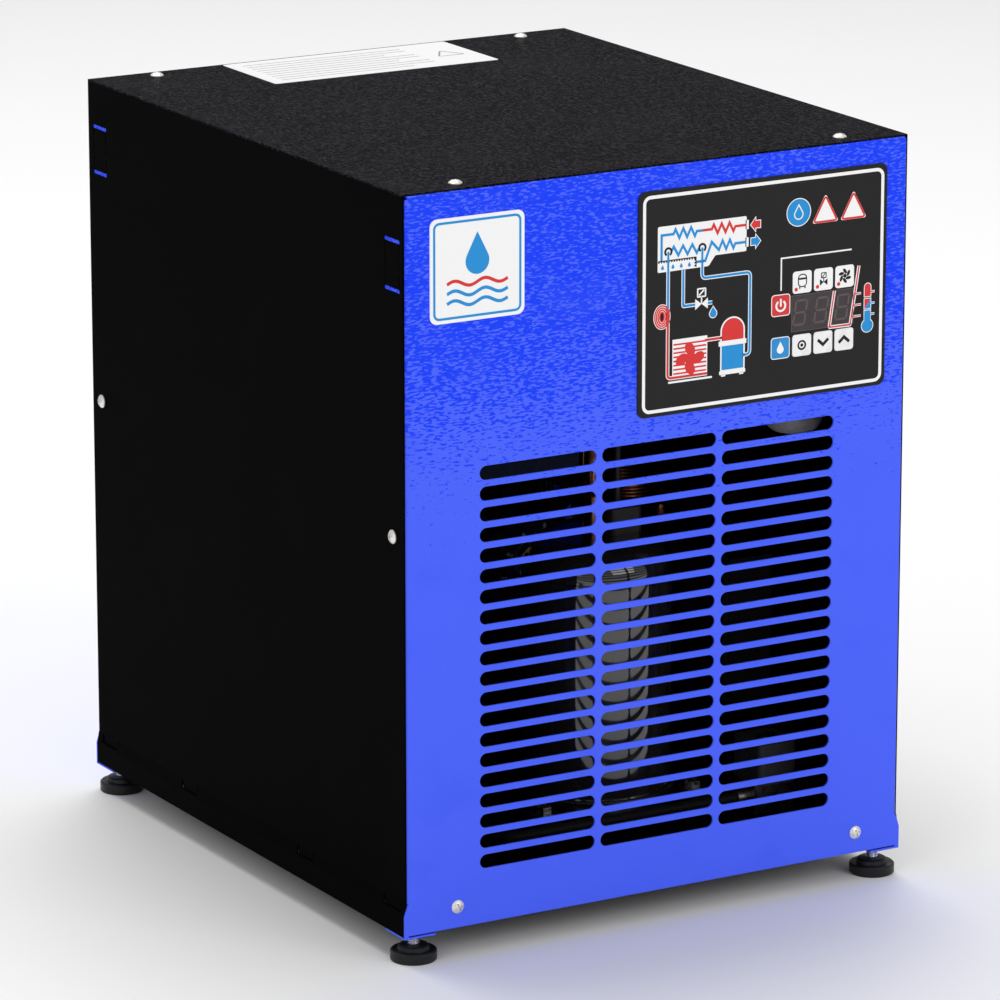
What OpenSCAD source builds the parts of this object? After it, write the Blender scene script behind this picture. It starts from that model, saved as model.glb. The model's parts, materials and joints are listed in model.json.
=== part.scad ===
// Refrigerated compressed air dryer: sheet metal case, refrigeration circuit, air circuit,
// condensate drain, fan, control panel and levelling feet.
// The origin is on the floor under the middle of the dryer. The front faces -Y.

/* [Case] */
// Width of the front panel
case_w = 370; // [366:1:390]
// Depth over the front and rear panels
case_d = 435; // [430:1:450]
// Height of the front panel
case_h = 478; // [474:1:500]
// Gap between the floor and the front panel
ground_gap = 20; // [19:0.5:24]
// Sheet metal thickness
sheet = 1.2; // [1:0.1:1.2]
// Width that the bottom corners stand out on each side
jog = 2.6; // [2.4:0.1:3]

/* [Grille] */
// Length of one slot
slot_l = 85.2; // [70:0.1:85.2]
// Height of one slot
slot_h = 9.3; // [6:0.1:10]
// Web between slots in a row
slot_gap = 4.2; // [3:0.1:5]
// Distance from slot to slot in a column
slot_pitch = 13.43; // [12:0.01:13.5]
// Slots in one column
slot_rows = 20; // [10:1:20]

/* [Control panel] */
// Width of the printed panel
overlay_w = 187.3; // [180:0.1:190]
// Height of the printed panel
overlay_h = 146.3; // [140:0.1:148]
// Side of a square key
key_size = 14.3; // [13.5:0.1:14.4]
// Travel of a key
key_travel = 0.5; // [0.3:0.05:0.5]

/* [Feet] */
// Radius of a rubber foot
pad_r = 15; // [12:0.5:15]
// Radius of a foot's stud
stud_r = 4; // [3.5:0.5:4]

/* [Refrigeration] */
// Radius of the compressor shell
shell_r = 52; // [45:1:54]
// Height of the compressor shell between its seams
shell_h = 149; // [120:1:149]
// Radius of the condenser tube
coil_r = 4; // [3:0.5:4]
// Passes of the condenser tube
coil_passes = 8; // [4:2:8]

/* [Fan] */
// Radius over the blade tips
fan_r = 72; // [60:1:72]
// Number of blades
fan_blade_count = 5; // [4:1:7]
// Pitch angle of the blades
blade_pitch = 28; // [20:1:32]

/* [Ports] */
// Radius of the air port bore
port_bore_r = 9.3; // [7:0.1:9.5]
// Depth of the air port bore
port_bore_l = 15; // [12:1:18]
// Radius of the drain outlet bore
drain_bore_r = 4.05; // [3:0.05:4.5]

/* [Hidden] */
$fn = 64;

// Colours
blue = [0.13, 0.25, 0.95];
black = [0.07, 0.07, 0.08];
charcoal = [0.17, 0.17, 0.18];
steel = [0.75, 0.76, 0.78];
copper = [0.78, 0.42, 0.24];
brass = [0.78, 0.62, 0.28];
white = [0.93, 0.93, 0.93];
red = [0.85, 0.2, 0.2];
sky = [0.2, 0.55, 0.83];

// General clearances: slack for parts that rest side by side, running for turning parts
slack = 0.1;
running = 0.05;
eps = 0.01;

// Case frame: x from the front panel's left edge, y from its face, z from its lower edge
foot_x = 10.5;
foot_y = 12.1;
port_proud = 12;
front_proud = pad_r - foot_y;
front_y = front_proud - (case_d + port_proud + front_proud) / 2;

// Folded panels
bend_r = 2;
flange = 30;
top_flange = 26;
shoulder_top = 21;
shoulder_low = 13;
lip_w = 22.6;
lip_d = 25;
lip_top = -1.05;
lip_edge = 3;
skin = sheet + slack;

// Hooks that hold the side panels
hook_w = 18.5;
hook_h = 33.6;
hook_z = 433;
hook_front_y = 14.9;
hook_rear_y = 18.6;
hook_bar = 2.4;
hook_gap = 0.8;
tab_w = 21;
tab_low = 14.8;
tab_ys = [17, 133, case_d - 138.5, case_d - 20];

// Screws
screw_r = 2.4;
screw_hole_r = 2.6;
screw_l = 12;
head_r = 4.5;
head_h = 2.7;
head_dome_r = 6;
front_screws_x = [35.8, case_w - 32.2];
front_screw_z = 14;
side_screw_z = 259;
edge_screw_in = 15.4;
top_screws_x = [44, case_w - 42];

// Front grille
grille_x = 52.4;
grille_z = 36.1;
grille_cols = 3;

// Rear grille
rear_slot_l = 62;
rear_rows = 14;
rear_cols = 2;
rear_grille_x = 201;
rear_grille_z = 45;

// Control panel
overlay_x = 167.1;
overlay_z = 316.6;
overlay_r = 5.2;
film = 0.8;
key_r = 2;
key_gap = 0.15;
key_xs = [266.7, 283.1, 299.3, 315.4];
key_row_z = 343.1;
power_z = 371.1;
key_proud = 1.2;
key_back = 0.6;
key_rim = 0.8;
stem_r = 2;
stem_end = 4.4;
window_x = 282.2;
window_z = 359.4;
window_w = 47.4;
window_h = 24;
cutout_x = 263;
cutout_z = 340;
cutout_w = 70.5;
cutout_h = 48.5;
badge_x = 16.7;
badge_z = 395.3;
badge_w = 67.5;
badge_h = 66.5;
label_x = 99.3;
label_y = 353.7;
label_w = 173;
label_d = 77;
label_t = 0.2;

// Controller
housing_x = 200;
housing_z = 330;
housing_w = 145;
housing_h = 70;
housing_d = 34.7;
housing_y = sheet + slack;
housing_wall = 2;
board_y = 6.2;
board_t = 1.6;
capacitor_at = [324, 60, 276];
capacitor_r = 19.5;
capacitor_h = 74;
can_corner = 11;
terminal_r = 8;
terminal_h = 8;
ring_low = housing_z + 4;
ring_h = 12;
ring_t = 2;
ring_arm_w = 8;
boss_inset = 8;
boss_r = 3;
board_inset = 3;
switch_w = 6;
choke_r = 7;
choke_l = 20;
choke_xs = [20, 40];
choke_z = 35;
junction_x = 331;
junction_ys = [150, 240];
junction_zs = [62, 165];
lid_t = 3;
lid_screw_r = 2.5;
lid_screw_inset = 8;
inlet_flange = [48, 27, 3.5];
inlet_depth = 22;
socket = [24, 15.6, 17];
pin = [2, 4];
pin_xs = [-7, 0, 7];
pin_l = 14;
inlet_cable_at = [60, 300];
inlet_cable_top = 350;
comp_cable_at = [223, 52, 290];
fan_cable_at = [292, 55, 308];
fan_cable_y = 266;
cable_top = 345;
cable_bend = 6;

// Compressor
comp_at = [205, 115, 0];
comp_low_r = 48;
comp_low_z = 26;
comp_seam_z = 38;
comp_cap_h = 22;
comp_cap_inset = 2;
comp_cap_corner = 20;
comp_low_corner = 6;
comp_overlap = 60;
comp_seam_w = 1.5;
comp_seam_h = 4;
mount_pad_r = 12;
cover_size = [24, 24, 18];
cover_offset = 7;
cover_corner = 4;
mount_plate_margin = 8;
comp_top_z = comp_seam_z + shell_h + comp_cap_h;
mount_radius = 66;
mount_angles = [90, 210, 330];
mount_plate_z = 30;
mount_plate_t = 3;
grommet_neck_r = 7;
bolt_r = 3;
accumulator_at = [246, 186, 70];
accumulator_r = 25;
accumulator_h = 120;

// Condenser and fan
fin_x = 200;
fin_w = 130;
fin_y = 376;
fin_d = 32;
fin_z = 35;
fin_h = 200;
fin_t = 0.6;
fin_pitch = 3.25;
coil_pitch = fin_h / coil_passes;
coil_y = fin_y + fin_d / 2;
coil_left = fin_x - 2 - coil_pitch / 2;
coil_right = fin_x + fin_w + 2 + coil_pitch / 2;
coil_end = fin_x + fin_w + 8;
coil_top_z = fin_z + fin_h - coil_pitch / 2;
coil_low_z = fin_z + coil_pitch / 2;
fan_at = [fin_x + fin_w / 2, 326, fin_z + fin_h / 2];
hub_r = 20;
hub_l = 24;
hub_end = 4;
shaft_r = 3;
collar_r = fan_r + 3;
shroud_w = 160;
shroud_y = 360;
collar_y = 335;
motor_r = 32;
motor_y = 275;
motor_l = 43;
bracket_y = motor_y + motor_l;
bracket_t = 3;
arm_w = 14;
arm_reach = 90;
bracket_hub_r = 26;

// Air circuit
block_x = 22;
block_y = 62;
block_z = 272;
block_w = 140;
block_d = 268;
block_h = 170;
foam = 15;
core_gap = 0.2;
port_xs = [60, 124];
port_z = block_z + block_h / 2;
port_stub_r = 13.4;
port_stub_l = 15;
tube_r = 9;
tube_bore_r = 7.5;
floor_z = shoulder_top;
wall_x = 3.2;
upstand_x = 1.8;
upstand_h = 56;

// Refrigerant connections under the exchanger
suction_at = [125, 290];
hot_gas_at = [110, 255];
hot_gas_x = 147;
hot_gas_body = [24, 22, 22];
hot_gas_neck_r = 8;
hot_gas_head_r = 17;
hot_gas_head_h = 7;
hot_gas_drop = 40;
hot_gas_bend = 8;
capillary_at = [95, 280];
drain_at = [100, 95];
suction_r = 5;
discharge_r = 4;
liquid_r = 3.2;
capillary_r = 1.3;
hose_r = 4;
pipe_bend = 12;
discharge_z = 236;
suction_z = 256;
drier_at = [352, 270, 78];
drier_r = 10;
drier_l = 110;
spiral_at = [303, 235, 200];
spiral_r = 22;
spiral_turns = 5;

// Drain
valve_at = [300, 50, 34];
valve_size = [32, 22, 20];
nipple_end = 24;
nipple_r = 5;
drain_coil = [30, 34, 28];
drain_coil_corner = 4;
outlet_in = 20;
outlet_r = 6;
outlet_hex = 14;
outlet_hex_h = 4;
outlet_nose_r = 6.5;
outlet_nose_h = 9;
outlet_at = [358, case_d, 34];
plunger_r = 5;
plunger_l = 24;
guide_r = 6.5;
guide_top = 40;

// Electrical
inlet_x = 262;
inlet_z = 300;
inlet_w = 27;
inlet_h = 19.5;
cable_r = 2.5;

// Foot
stud_low = 3;
stud_top = 38;
stud_head_r = 6;
stud_head_h = 2;
pad_h = 7;
boss_h = 10.8;

function unit(v) = v / norm(v);
function side_of(d) = unit(cross(abs(d[2]) < 0.9 ? [0, 0, 1] : [1, 0, 0], d));
function turn_at(p, i) = acos(unit(p[i] - p[i - 1]) * unit(p[i + 1] - p[i]));
function trim_at(p, i, bend) = bend * tan(turn_at(p, i) / 2);
function is_inner(p, i) = i > 0 && i < len(p) - 1;

// Moves children from the case frame to the frame of the whole dryer.
module in_case() translate([-case_w / 2, front_y, ground_gap]) children();

// Puts children's x, y and z along three unit vectors, at an origin.
module oriented(origin, x, y, z)
    multmatrix([[x[0], y[0], z[0], origin[0]], [x[1], y[1], z[1], origin[1]],
        [x[2], y[2], z[2], origin[2]], [0, 0, 0, 1]])
        children();

// Turns children's z axis to +Y.
module facing_back() rotate([-90, 0, 0]) children();

module box(low, high) translate(low) cube(high - low);

module rounded_rect(w, h, r) {
    translate([r, 0])
        square([w - 2 * r, h]);
    translate([0, r])
        square([w, h - 2 * r]);
    for (x = [r, w - r], y = [r, h - r])
        translate([x, y])
            circle(r = r);
}

// A plate in the x-z plane, t thick towards -Y from its back face at y = 0.
module front_plate(w, h, r, t)
    rotate([90, 0, 0])
        linear_extrude(t)
            rounded_rect(w, h, r);

module rod(a, b, r) {
    d = unit(b - a);
    u = side_of(d);
    oriented(a, u, cross(d, u), d)
        cylinder(r = r, h = norm(b - a));
}

module elbow(before, corner, after, r, bend) {
    d1 = unit(corner - before);
    d2 = unit(after - corner);
    turn = acos(d1 * d2);
    n = unit(d2 - d1 * (d1 * d2));
    start = corner - d1 * bend * tan(turn / 2);
    oriented(start + n * bend, -n, d1, cross(d1, n))
        rotate_extrude(angle = turn)
            translate([bend, 0])
                circle(r = r);
}

// A round bar along points p, with its corners bent to the radius bend.
module pipe(p, r, bend) {
    for (i = [0 : len(p) - 2]) {
        d = unit(p[i + 1] - p[i]);
        a = p[i] + d * (is_inner(p, i) ? trim_at(p, i, bend) : 0);
        b = p[i + 1] - d * (is_inner(p, i + 1) ? trim_at(p, i + 1, bend) : 0);
        if ((b - a) * d > eps)
            rod(a, b, r);
    }
    if (len(p) > 2)
        for (i = [1 : len(p) - 2])
            elbow(p[i - 1], p[i], p[i + 1], r, bend);
}

module hex_prism(across_flats, h)
    cylinder(d = across_flats / cos(30), h = h, $fn = 6);

// ---- Case ----

// Section of a folded panel seen from above: face, rounded bends and side flanges.
module channel_section() {
    difference() {
        union() {
            translate([0, bend_r])
                square([case_w, flange - bend_r]);
            translate([bend_r, 0])
                square([case_w - 2 * bend_r, bend_r]);
            for (x = [bend_r, case_w - bend_r])
                translate([x, bend_r])
                    circle(r = bend_r);
        }
        translate([sheet, bend_r])
            square([case_w - 2 * sheet, flange]);
        translate([bend_r, sheet])
            square([case_w - 2 * bend_r, bend_r]);
        for (x = [bend_r, case_w - bend_r])
            translate([x, bend_r])
                circle(r = bend_r - sheet);
    }
}

// Section of the top bend, with y across and z up.
module top_bend_section() {
    difference() {
        union() {
            square([top_flange, bend_r - sheet]);
            translate([bend_r, 0])
                square([top_flange - bend_r, bend_r]);
            translate([bend_r, 0])
                circle(r = bend_r);
        }
        translate([bend_r, -bend_r])
            square([top_flange, 2 * bend_r - sheet]);
        translate([bend_r, 0])
            circle(r = bend_r - sheet);
        translate([-bend_r, -2 * bend_r])
            square([top_flange + 2 * bend_r, 2 * bend_r]);
        translate([bend_r, -eps])
            square([top_flange, bend_r - sheet + eps]);
    }
}

module side_hooks(hook_y) {
    for (x = [-sheet, case_w], z = [-1, 1])
        translate([x, hook_y - hook_w / 2 + slack, hook_z + z * (hook_h - hook_bar) / 2 - hook_bar / 2])
            cube([sheet, hook_w - 2 * slack, hook_bar - slack]);
}

// Bottom corner flange under the tray, joined to the face by a small ear.
module corner_lip() {
    box([-jog, 0, lip_top - sheet], [lip_w - jog, lip_d, lip_top]);
    box([-jog, 0, lip_top - eps], [lip_edge - jog, sheet, eps]);
}

// Face, flanges and lips of the front panel or, mirrored, of the rear one.
module folded_panel(hook_y) {
    difference() {
        union() {
            translate([0, 0, shoulder_top])
                linear_extrude(case_h - bend_r - shoulder_top)
                    channel_section();
            translate([slack + sheet, 0, case_h - bend_r])
                rotate([90, 0, 90])
                    linear_extrude(case_w - 2 * (slack + sheet))
                        top_bend_section();
            rotate([90, 0, 0])
                translate([0, 0, -sheet])
                    linear_extrude(sheet)
                        polygon([[-jog, 0], [case_w + jog, 0], [case_w + jog, shoulder_low],
                            [case_w, shoulder_top + eps], [0, shoulder_top + eps], [-jog, shoulder_low]]);
            side_hooks(hook_y);
            corner_lip();
            translate([case_w, 0, 0])
                mirror([1, 0, 0])
                    corner_lip();
        }
        for (x = [foot_x, case_w - foot_x])
            translate([x, foot_y, lip_top - 2 * sheet])
                cylinder(r = stud_r + 0.3, h = 3 * sheet);
        for (x = front_screws_x)
            translate([x, -1, front_screw_z])
                facing_back()
                    cylinder(r = screw_hole_r, h = 3 * sheet);
        for (x = top_screws_x)
            translate([x, edge_screw_in, case_h - 2 * sheet])
                cylinder(r = screw_hole_r, h = 3 * sheet);
        translate([-1, edge_screw_in, side_screw_z])
            rotate([0, 90, 0])
                cylinder(r = screw_hole_r, h = case_w + 2);
    }
}

// Columns of rounded slots, drawn in the x-z plane.
module slots(x0, z0, length, cols, rows) {
    r = slot_h / 2;
    for (i = [0 : cols - 1], j = [0 : rows - 1])
        translate([x0 + i * (length + slot_gap), z0 + j * slot_pitch]) {
            translate([r, 0])
                square([length - 2 * r, slot_h]);
            for (x = [r, length - r])
                translate([x, r])
                    circle(r = r);
        }
}

// Cuts a drawing in the x-z plane through a panel whose face is at y = 0.
module through_face() rotate([90, 0, 0]) translate([0, 0, -2 * sheet]) linear_extrude(3 * sheet) children();

module front_panel() {
    color(blue)
        in_case()
            difference() {
                folded_panel(hook_front_y);
                through_face()
                    slots(grille_x, grille_z, slot_l, grille_cols, slot_rows);
                through_face()
                    translate([cutout_x, cutout_z])
                        square([cutout_w, cutout_h]);
            }
}

module rear_panel() {
    color(blue)
        in_case()
            translate([0, case_d, 0])
                mirror([0, 1, 0])
                    difference() {
                        folded_panel(hook_rear_y);
                        through_face() {
                            slots(rear_grille_x, rear_grille_z, rear_slot_l, rear_cols, rear_rows);
                            for (x = port_xs)
                                translate([x, port_z])
                                    circle(r = port_stub_r + slack);
                            translate([outlet_at[0], outlet_at[2]])
                                circle(r = 6 + slack);
                            translate([inlet_x - inlet_w / 2 - slack, inlet_z - inlet_h / 2 - slack])
                                square([inlet_w + 2 * slack, inlet_h + 2 * slack]);
                        }
                    }
}

// One side of the tray's section, with x across and z up.
module tray_side() {
    translate([-jog, lip_top + running])
        square([lip_w, sheet]);
    translate([-jog, lip_top + running])
        square([sheet, shoulder_low - lip_top]);
    polygon([[-skin, floor_z], [-jog, shoulder_low], [sheet - jog, shoulder_low],
        [sheet - skin, floor_z]]);
    translate([upstand_x, floor_z - sheet])
        square([sheet, upstand_h]);
}

module tray_section() {
    translate([-skin, floor_z - sheet])
        square([case_w + 2 * skin, sheet]);
    tray_side();
    translate([case_w, 0])
        mirror([1, 0])
            tray_side();
}

module base_tray() {
    tray_y = sheet + slack;
    color(black)
        in_case()
            difference() {
                union() {
                    translate([0, case_d - tray_y, 0])
                        rotate([90, 0, 0])
                            linear_extrude(case_d - 2 * tray_y)
                                tray_section();
                    for (y = [tray_y, case_d - tray_y - sheet])
                        box([lip_w + 2, y, 2], [case_w - lip_w - 2, y + sheet, floor_z - sheet / 2]);
                }
                for (y = tab_ys, x = [-jog - 1, case_w - slack / 2])
                    translate([x, y - tab_w / 2 - 1.2, tab_low - slack])
                        cube([jog + 1 + slack / 2, tab_w + 2.4, floor_z - tab_low + 2 * slack]);
                for (x = [foot_x, case_w - foot_x], y = [foot_y, case_d - foot_y])
                    translate([x, y, lip_top - 1])
                        cylinder(r = stud_r + 0.3, h = 2 * sheet + 1);
                for (x = front_screws_x)
                    translate([x, 0, front_screw_z])
                        facing_back()
                            cylinder(r = screw_hole_r, h = case_d);
                for (a = mount_angles)
                    translate(comp_at + mount_radius * [cos(a), sin(a), 0] + [0, 0, floor_z - 2 * sheet])
                        cylinder(r = bolt_r + 0.2, h = 3 * sheet);
            }
}

// Window with a tongue that hooks over the panel's bars.
module hook_window(y)
    difference() {
        box([-2 * skin, y - hook_w / 2, hook_z - hook_h / 2],
            [skin, y + hook_w / 2, hook_z + hook_h / 2]);
        box([-3 * skin, y - hook_w / 2 + hook_gap, hook_z - hook_h / 2 + hook_bar + 0.3],
            [2 * skin, y + hook_w / 2 - hook_gap, hook_z + hook_h / 2 - hook_bar - 0.3]);
        box([-3 * skin, y - hook_w / 2 - 1, hook_z - 6], [2 * skin, y, hook_z - 1]);
    }

module side_panel() {
    color(black)
        difference() {
            union() {
                box([-skin, bend_r - slack, floor_z + running],
                    [-slack, case_d - bend_r + slack, case_h]);
                for (y = tab_ys)
                    box([-skin, y - tab_w / 2, tab_low], [-slack, y + tab_w / 2, floor_z + 2 * slack]);
            }
            hook_window(hook_front_y);
            hook_window(case_d - hook_rear_y);
            for (y = [edge_screw_in, case_d - edge_screw_in])
                translate([-2 * skin, y, side_screw_z])
                    rotate([0, 90, 0])
                        cylinder(r = screw_hole_r, h = 3 * skin);
        }
}

module left_side_panel() in_case() side_panel();

module right_side_panel() in_case() translate([case_w, 0, 0]) mirror([1, 0, 0]) side_panel();

module top_cover() {
    color(charcoal)
        in_case()
            difference() {
                box([-skin, bend_r - slack, case_h],
                    [case_w + skin, case_d - bend_r + slack, case_h + sheet]);
                for (x = top_screws_x, y = [edge_screw_in, case_d - edge_screw_in])
                    translate([x, y, case_h - 1])
                        cylinder(r = screw_hole_r, h = sheet + 2);
            }
}

module info_label() {
    color(white)
        in_case()
            translate([label_x, label_y, case_h + sheet])
                linear_extrude(label_t)
                    rounded_rect(label_w, label_d, 2);
}

module front_badge() {
    color(white)
        in_case()
            translate([badge_x, 0, badge_z])
                front_plate(badge_w, badge_h, 5, film);
}

// Pan head screw with a cross recess: the head stands up from z = 0.
module pan_screw() {
    difference() {
        union() {
            intersection() {
                cylinder(r = head_r, h = head_h);
                translate([0, 0, head_h - head_dome_r])
                    sphere(r = head_dome_r);
            }
            translate([0, 0, -screw_l])
                cylinder(r = screw_r, h = screw_l + eps);
        }
        for (a = [0, 90])
            rotate(a + 20)
                translate([-2.6, -0.5, head_h - 1.6])
                    cube([5.2, 1, 2]);
    }
}

module case_screws() {
    color(steel)
        in_case() {
            for (x = top_screws_x, y = [edge_screw_in, case_d - edge_screw_in])
                translate([x, y, case_h + sheet])
                    pan_screw();
            for (y = [edge_screw_in, case_d - edge_screw_in]) {
                translate([-skin, y, side_screw_z])
                    rotate([0, -90, 0])
                        pan_screw();
                translate([case_w + skin, y, side_screw_z])
                    rotate([0, 90, 0])
                        pan_screw();
            }
            for (x = front_screws_x) {
                translate([x, 0, front_screw_z])
                    rotate([90, 0, 0])
                        pan_screw();
                translate([x, case_d, front_screw_z])
                    facing_back()
                        pan_screw();
            }
        }
}

// ---- Control panel ----

module key_window(x, z)
    translate([x - key_gap, z - key_gap])
        rounded_rect(key_size + 2 * key_gap, key_size + 2 * key_gap, key_r);

module control_overlay() {
    color(charcoal)
        in_case()
            rotate([90, 0, 0])
                linear_extrude(film)
                    difference() {
                        translate([overlay_x, overlay_z])
                            rounded_rect(overlay_w, overlay_h, overlay_r);
                        for (x = key_xs)
                            key_window(x, key_row_z);
                        key_window(key_xs[0], power_z);
                        translate([window_x - slack, window_z - slack])
                            square([window_w + 2 * slack, window_h + 2 * slack]);
                    }
}

module display_window() {
    color([0.26, 0.23, 0.24])
        in_case()
            box([window_x, -film, window_z], [window_x + window_w, key_back, window_z + window_h]);
}

// Key cap with a rim that keeps it behind the film, and the stem that presses the switch.
module key(x, z) {
    in_case()
        translate([x, 0, z]) {
            translate([0, key_back, 0])
                front_plate(key_size, key_size, key_r, key_proud + key_back);
            box([1, slack / 2, -key_rim], [key_size - 1, key_back, key_size + key_rim]);
            translate([key_size / 2, key_back - eps, key_size / 2])
                facing_back()
                    cylinder(r = stem_r, h = stem_end - key_back);
        }
}

module key_power() color(red) key(key_xs[0], power_z);
module key_drain_test() color(sky) key(key_xs[0], key_row_z);
module key_set() color(white) key(key_xs[1], key_row_z);
module key_down() color(white) key(key_xs[2], key_row_z);
module key_up() color(white) key(key_xs[3], key_row_z);

module controller_housing() {
    arm_x = capacitor_at[0];
    ring_y = capacitor_at[1];
    boss_l = housing_y + housing_d - housing_wall - board_y - board_t;
    color(charcoal)
        in_case() {
            difference() {
                box([housing_x, housing_y, housing_z],
                    [housing_x + housing_w, housing_y + housing_d, housing_z + housing_h]);
                box([housing_x + housing_wall, 0, housing_z + housing_wall],
                    [housing_x + housing_w - housing_wall, housing_y + housing_d - housing_wall,
                        housing_z + housing_h - housing_wall]);
            }
            for (x = [housing_x + boss_inset, housing_x + housing_w - boss_inset],
                z = [housing_z + boss_inset, housing_z + housing_h - boss_inset])
                translate([x, board_y + board_t, z])
                    facing_back()
                        cylinder(r = boss_r, h = boss_l + eps);
            box([arm_x - ring_arm_w / 2, housing_y + housing_d - eps, ring_low],
                [arm_x + ring_arm_w / 2, ring_y - capacitor_r - slack, ring_low + ring_h]);
            translate([arm_x, ring_y, ring_low])
                difference() {
                    cylinder(r = capacitor_r + ring_t, h = ring_h);
                    translate([0, 0, -1])
                        cylinder(r = capacitor_r + slack, h = ring_h + 2);
                }
        }
}

// Circuit board with a tactile switch behind each key and the display block.
module controller_board() {
    switch_y = stem_end + key_travel + slack;
    color([0.1, 0.35, 0.16])
        in_case() {
            box([housing_x + board_inset, board_y, housing_z + board_inset],
                [housing_x + housing_w - board_inset, board_y + board_t,
                    housing_z + housing_h - board_inset]);
            for (k = [[key_xs[0], power_z], for (x = key_xs) [x, key_row_z]])
                box([k[0] + (key_size - switch_w) / 2, switch_y, k[1] + (key_size - switch_w) / 2],
                    [k[0] + (key_size + switch_w) / 2, board_y + eps,
                        k[1] + (key_size + switch_w) / 2]);
            box([window_x + 2, key_back + slack, window_z + 2],
                [window_x + window_w - 2, board_y + eps, window_z + window_h - 2]);
            for (x = choke_xs)
                translate([housing_x + x, board_y + board_t - eps, housing_z + choke_z])
                    facing_back()
                        cylinder(r = choke_r, h = choke_l);
        }
}

module run_capacitor() {
    color([0.8, 0.8, 0.82])
        in_case()
            translate(capacitor_at)
                rotate_extrude()
                    intersection() {
                        union() {
                            translate([-capacitor_r, 0])
                                rounded_rect(2 * capacitor_r, capacitor_h, can_corner);
                            translate([-capacitor_r, can_corner])
                                square([2 * capacitor_r, capacitor_h - can_corner]);
                            translate([-terminal_r, can_corner])
                                square([2 * terminal_r, capacitor_h + terminal_h - can_corner]);
                        }
                        square([capacitor_r, capacitor_h + terminal_h + 1]);
                    }
}

module junction_box() {
    inside = junction_x + lid_t;
    color([0.2, 0.2, 0.21])
        in_case()
            difference() {
                union() {
                    box([inside, junction_ys[0], junction_zs[0]],
                        [case_w - wall_x, junction_ys[1], junction_zs[1]]);
                    box([junction_x, junction_ys[0] + lid_t, junction_zs[0] + lid_t],
                        [inside + eps, junction_ys[1] - lid_t, junction_zs[1] - lid_t]);
                }
                for (y = [junction_ys[0] + lid_screw_inset, junction_ys[1] - lid_screw_inset],
                    z = [junction_zs[0] + lid_screw_inset, junction_zs[1] - lid_screw_inset])
                    translate([junction_x - 1, y, z])
                        rotate([0, 90, 0])
                            cylinder(r = lid_screw_r, h = lid_t);
            }
}

module power_inlet() {
    color(black)
        in_case()
            translate([inlet_x, case_d, inlet_z]) {
                difference() {
                    union() {
                        box([-inlet_flange[0] / 2, 0, -inlet_flange[1] / 2],
                            [inlet_flange[0] / 2, inlet_flange[2], inlet_flange[1] / 2]);
                        box([-inlet_w / 2, -inlet_depth, -inlet_h / 2], [inlet_w / 2, eps, inlet_h / 2]);
                    }
                    box([-socket[0] / 2, -socket[2], -socket[1] / 2],
                        [socket[0] / 2, inlet_flange[2] + 1, socket[1] / 2]);
                }
                for (x = pin_xs)
                    translate([x, -socket[2] - eps, x == 0 ? pin[0] : -pin[0]])
                        box([-pin[0] / 2, 0, -pin[1] / 2], [pin[0] / 2, pin_l, pin[1] / 2]);
            }
}

module wiring() {
    back = housing_y + housing_d + slack;
    comp_x = comp_cable_at[0];
    fan_x = fan_cable_at[0];
    color(black)
        in_case() {
            pipe([[inlet_x, case_d - inlet_depth - slack, inlet_cable_at[1]],
                [inlet_x, inlet_cable_at[0], inlet_cable_at[1]],
                [inlet_x, inlet_cable_at[0], inlet_cable_top],
                [inlet_x, back, inlet_cable_top]], cable_r, cable_bend);
            pipe([[comp_x, comp_at[1], comp_top_z + cover_size[2] + slack],
                [comp_x, comp_at[1], comp_cable_at[2]], comp_cable_at,
                [comp_x, comp_cable_at[1], cable_top], [comp_x, back, cable_top]], cable_r, cable_bend);
            pipe([[fan_at[0], motor_y - slack, fan_at[2]], [fan_at[0], fan_cable_y, fan_at[2]],
                [fan_x, fan_cable_y, fan_at[2]], [fan_x, fan_cable_y, fan_cable_at[2]], fan_cable_at,
                [fan_x, fan_cable_at[1], cable_top], [fan_x, back, cable_top]], cable_r, cable_bend);
        }
}

// ---- Refrigeration circuit ----

module compressor_shell() {
    color(black)
        in_case()
            translate(comp_at)
                rotate_extrude()
                    intersection() {
                        union() {
                            translate([-comp_low_r, comp_low_z])
                                rounded_rect(2 * comp_low_r, comp_overlap, comp_low_corner);
                            translate([0, comp_seam_z])
                                square([shell_r, shell_h]);
                            translate([0, comp_seam_z])
                                square([shell_r + comp_seam_w, comp_seam_h]);
                            translate([comp_cap_inset - shell_r, comp_seam_z + shell_h - comp_overlap])
                                rounded_rect(2 * (shell_r - comp_cap_inset), comp_overlap + comp_cap_h,
                                    comp_cap_corner);
                        }
                        square([2 * shell_r, comp_top_z + 1]);
                    }
}

module compressor_foot_plate() {
    color(black)
        in_case()
            translate(comp_at + [0, 0, mount_plate_z])
                difference() {
                    union() {
                        cylinder(r = comp_low_r + mount_plate_margin, h = mount_plate_t);
                        for (a = mount_angles)
                            rotate(a) {
                                translate([0, -mount_pad_r, 0])
                                    cube([mount_radius, 2 * mount_pad_r, mount_plate_t]);
                                translate([mount_radius, 0, 0])
                                    cylinder(r = mount_pad_r, h = mount_plate_t);
                            }
                    }
                    translate([0, 0, -1])
                        cylinder(r = comp_low_r + running, h = mount_plate_t + 2);
                    for (a = mount_angles)
                        rotate(a)
                            translate([mount_radius, 0, -1])
                                cylinder(r = grommet_neck_r + running, h = mount_plate_t + 2);
                }
}

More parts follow.
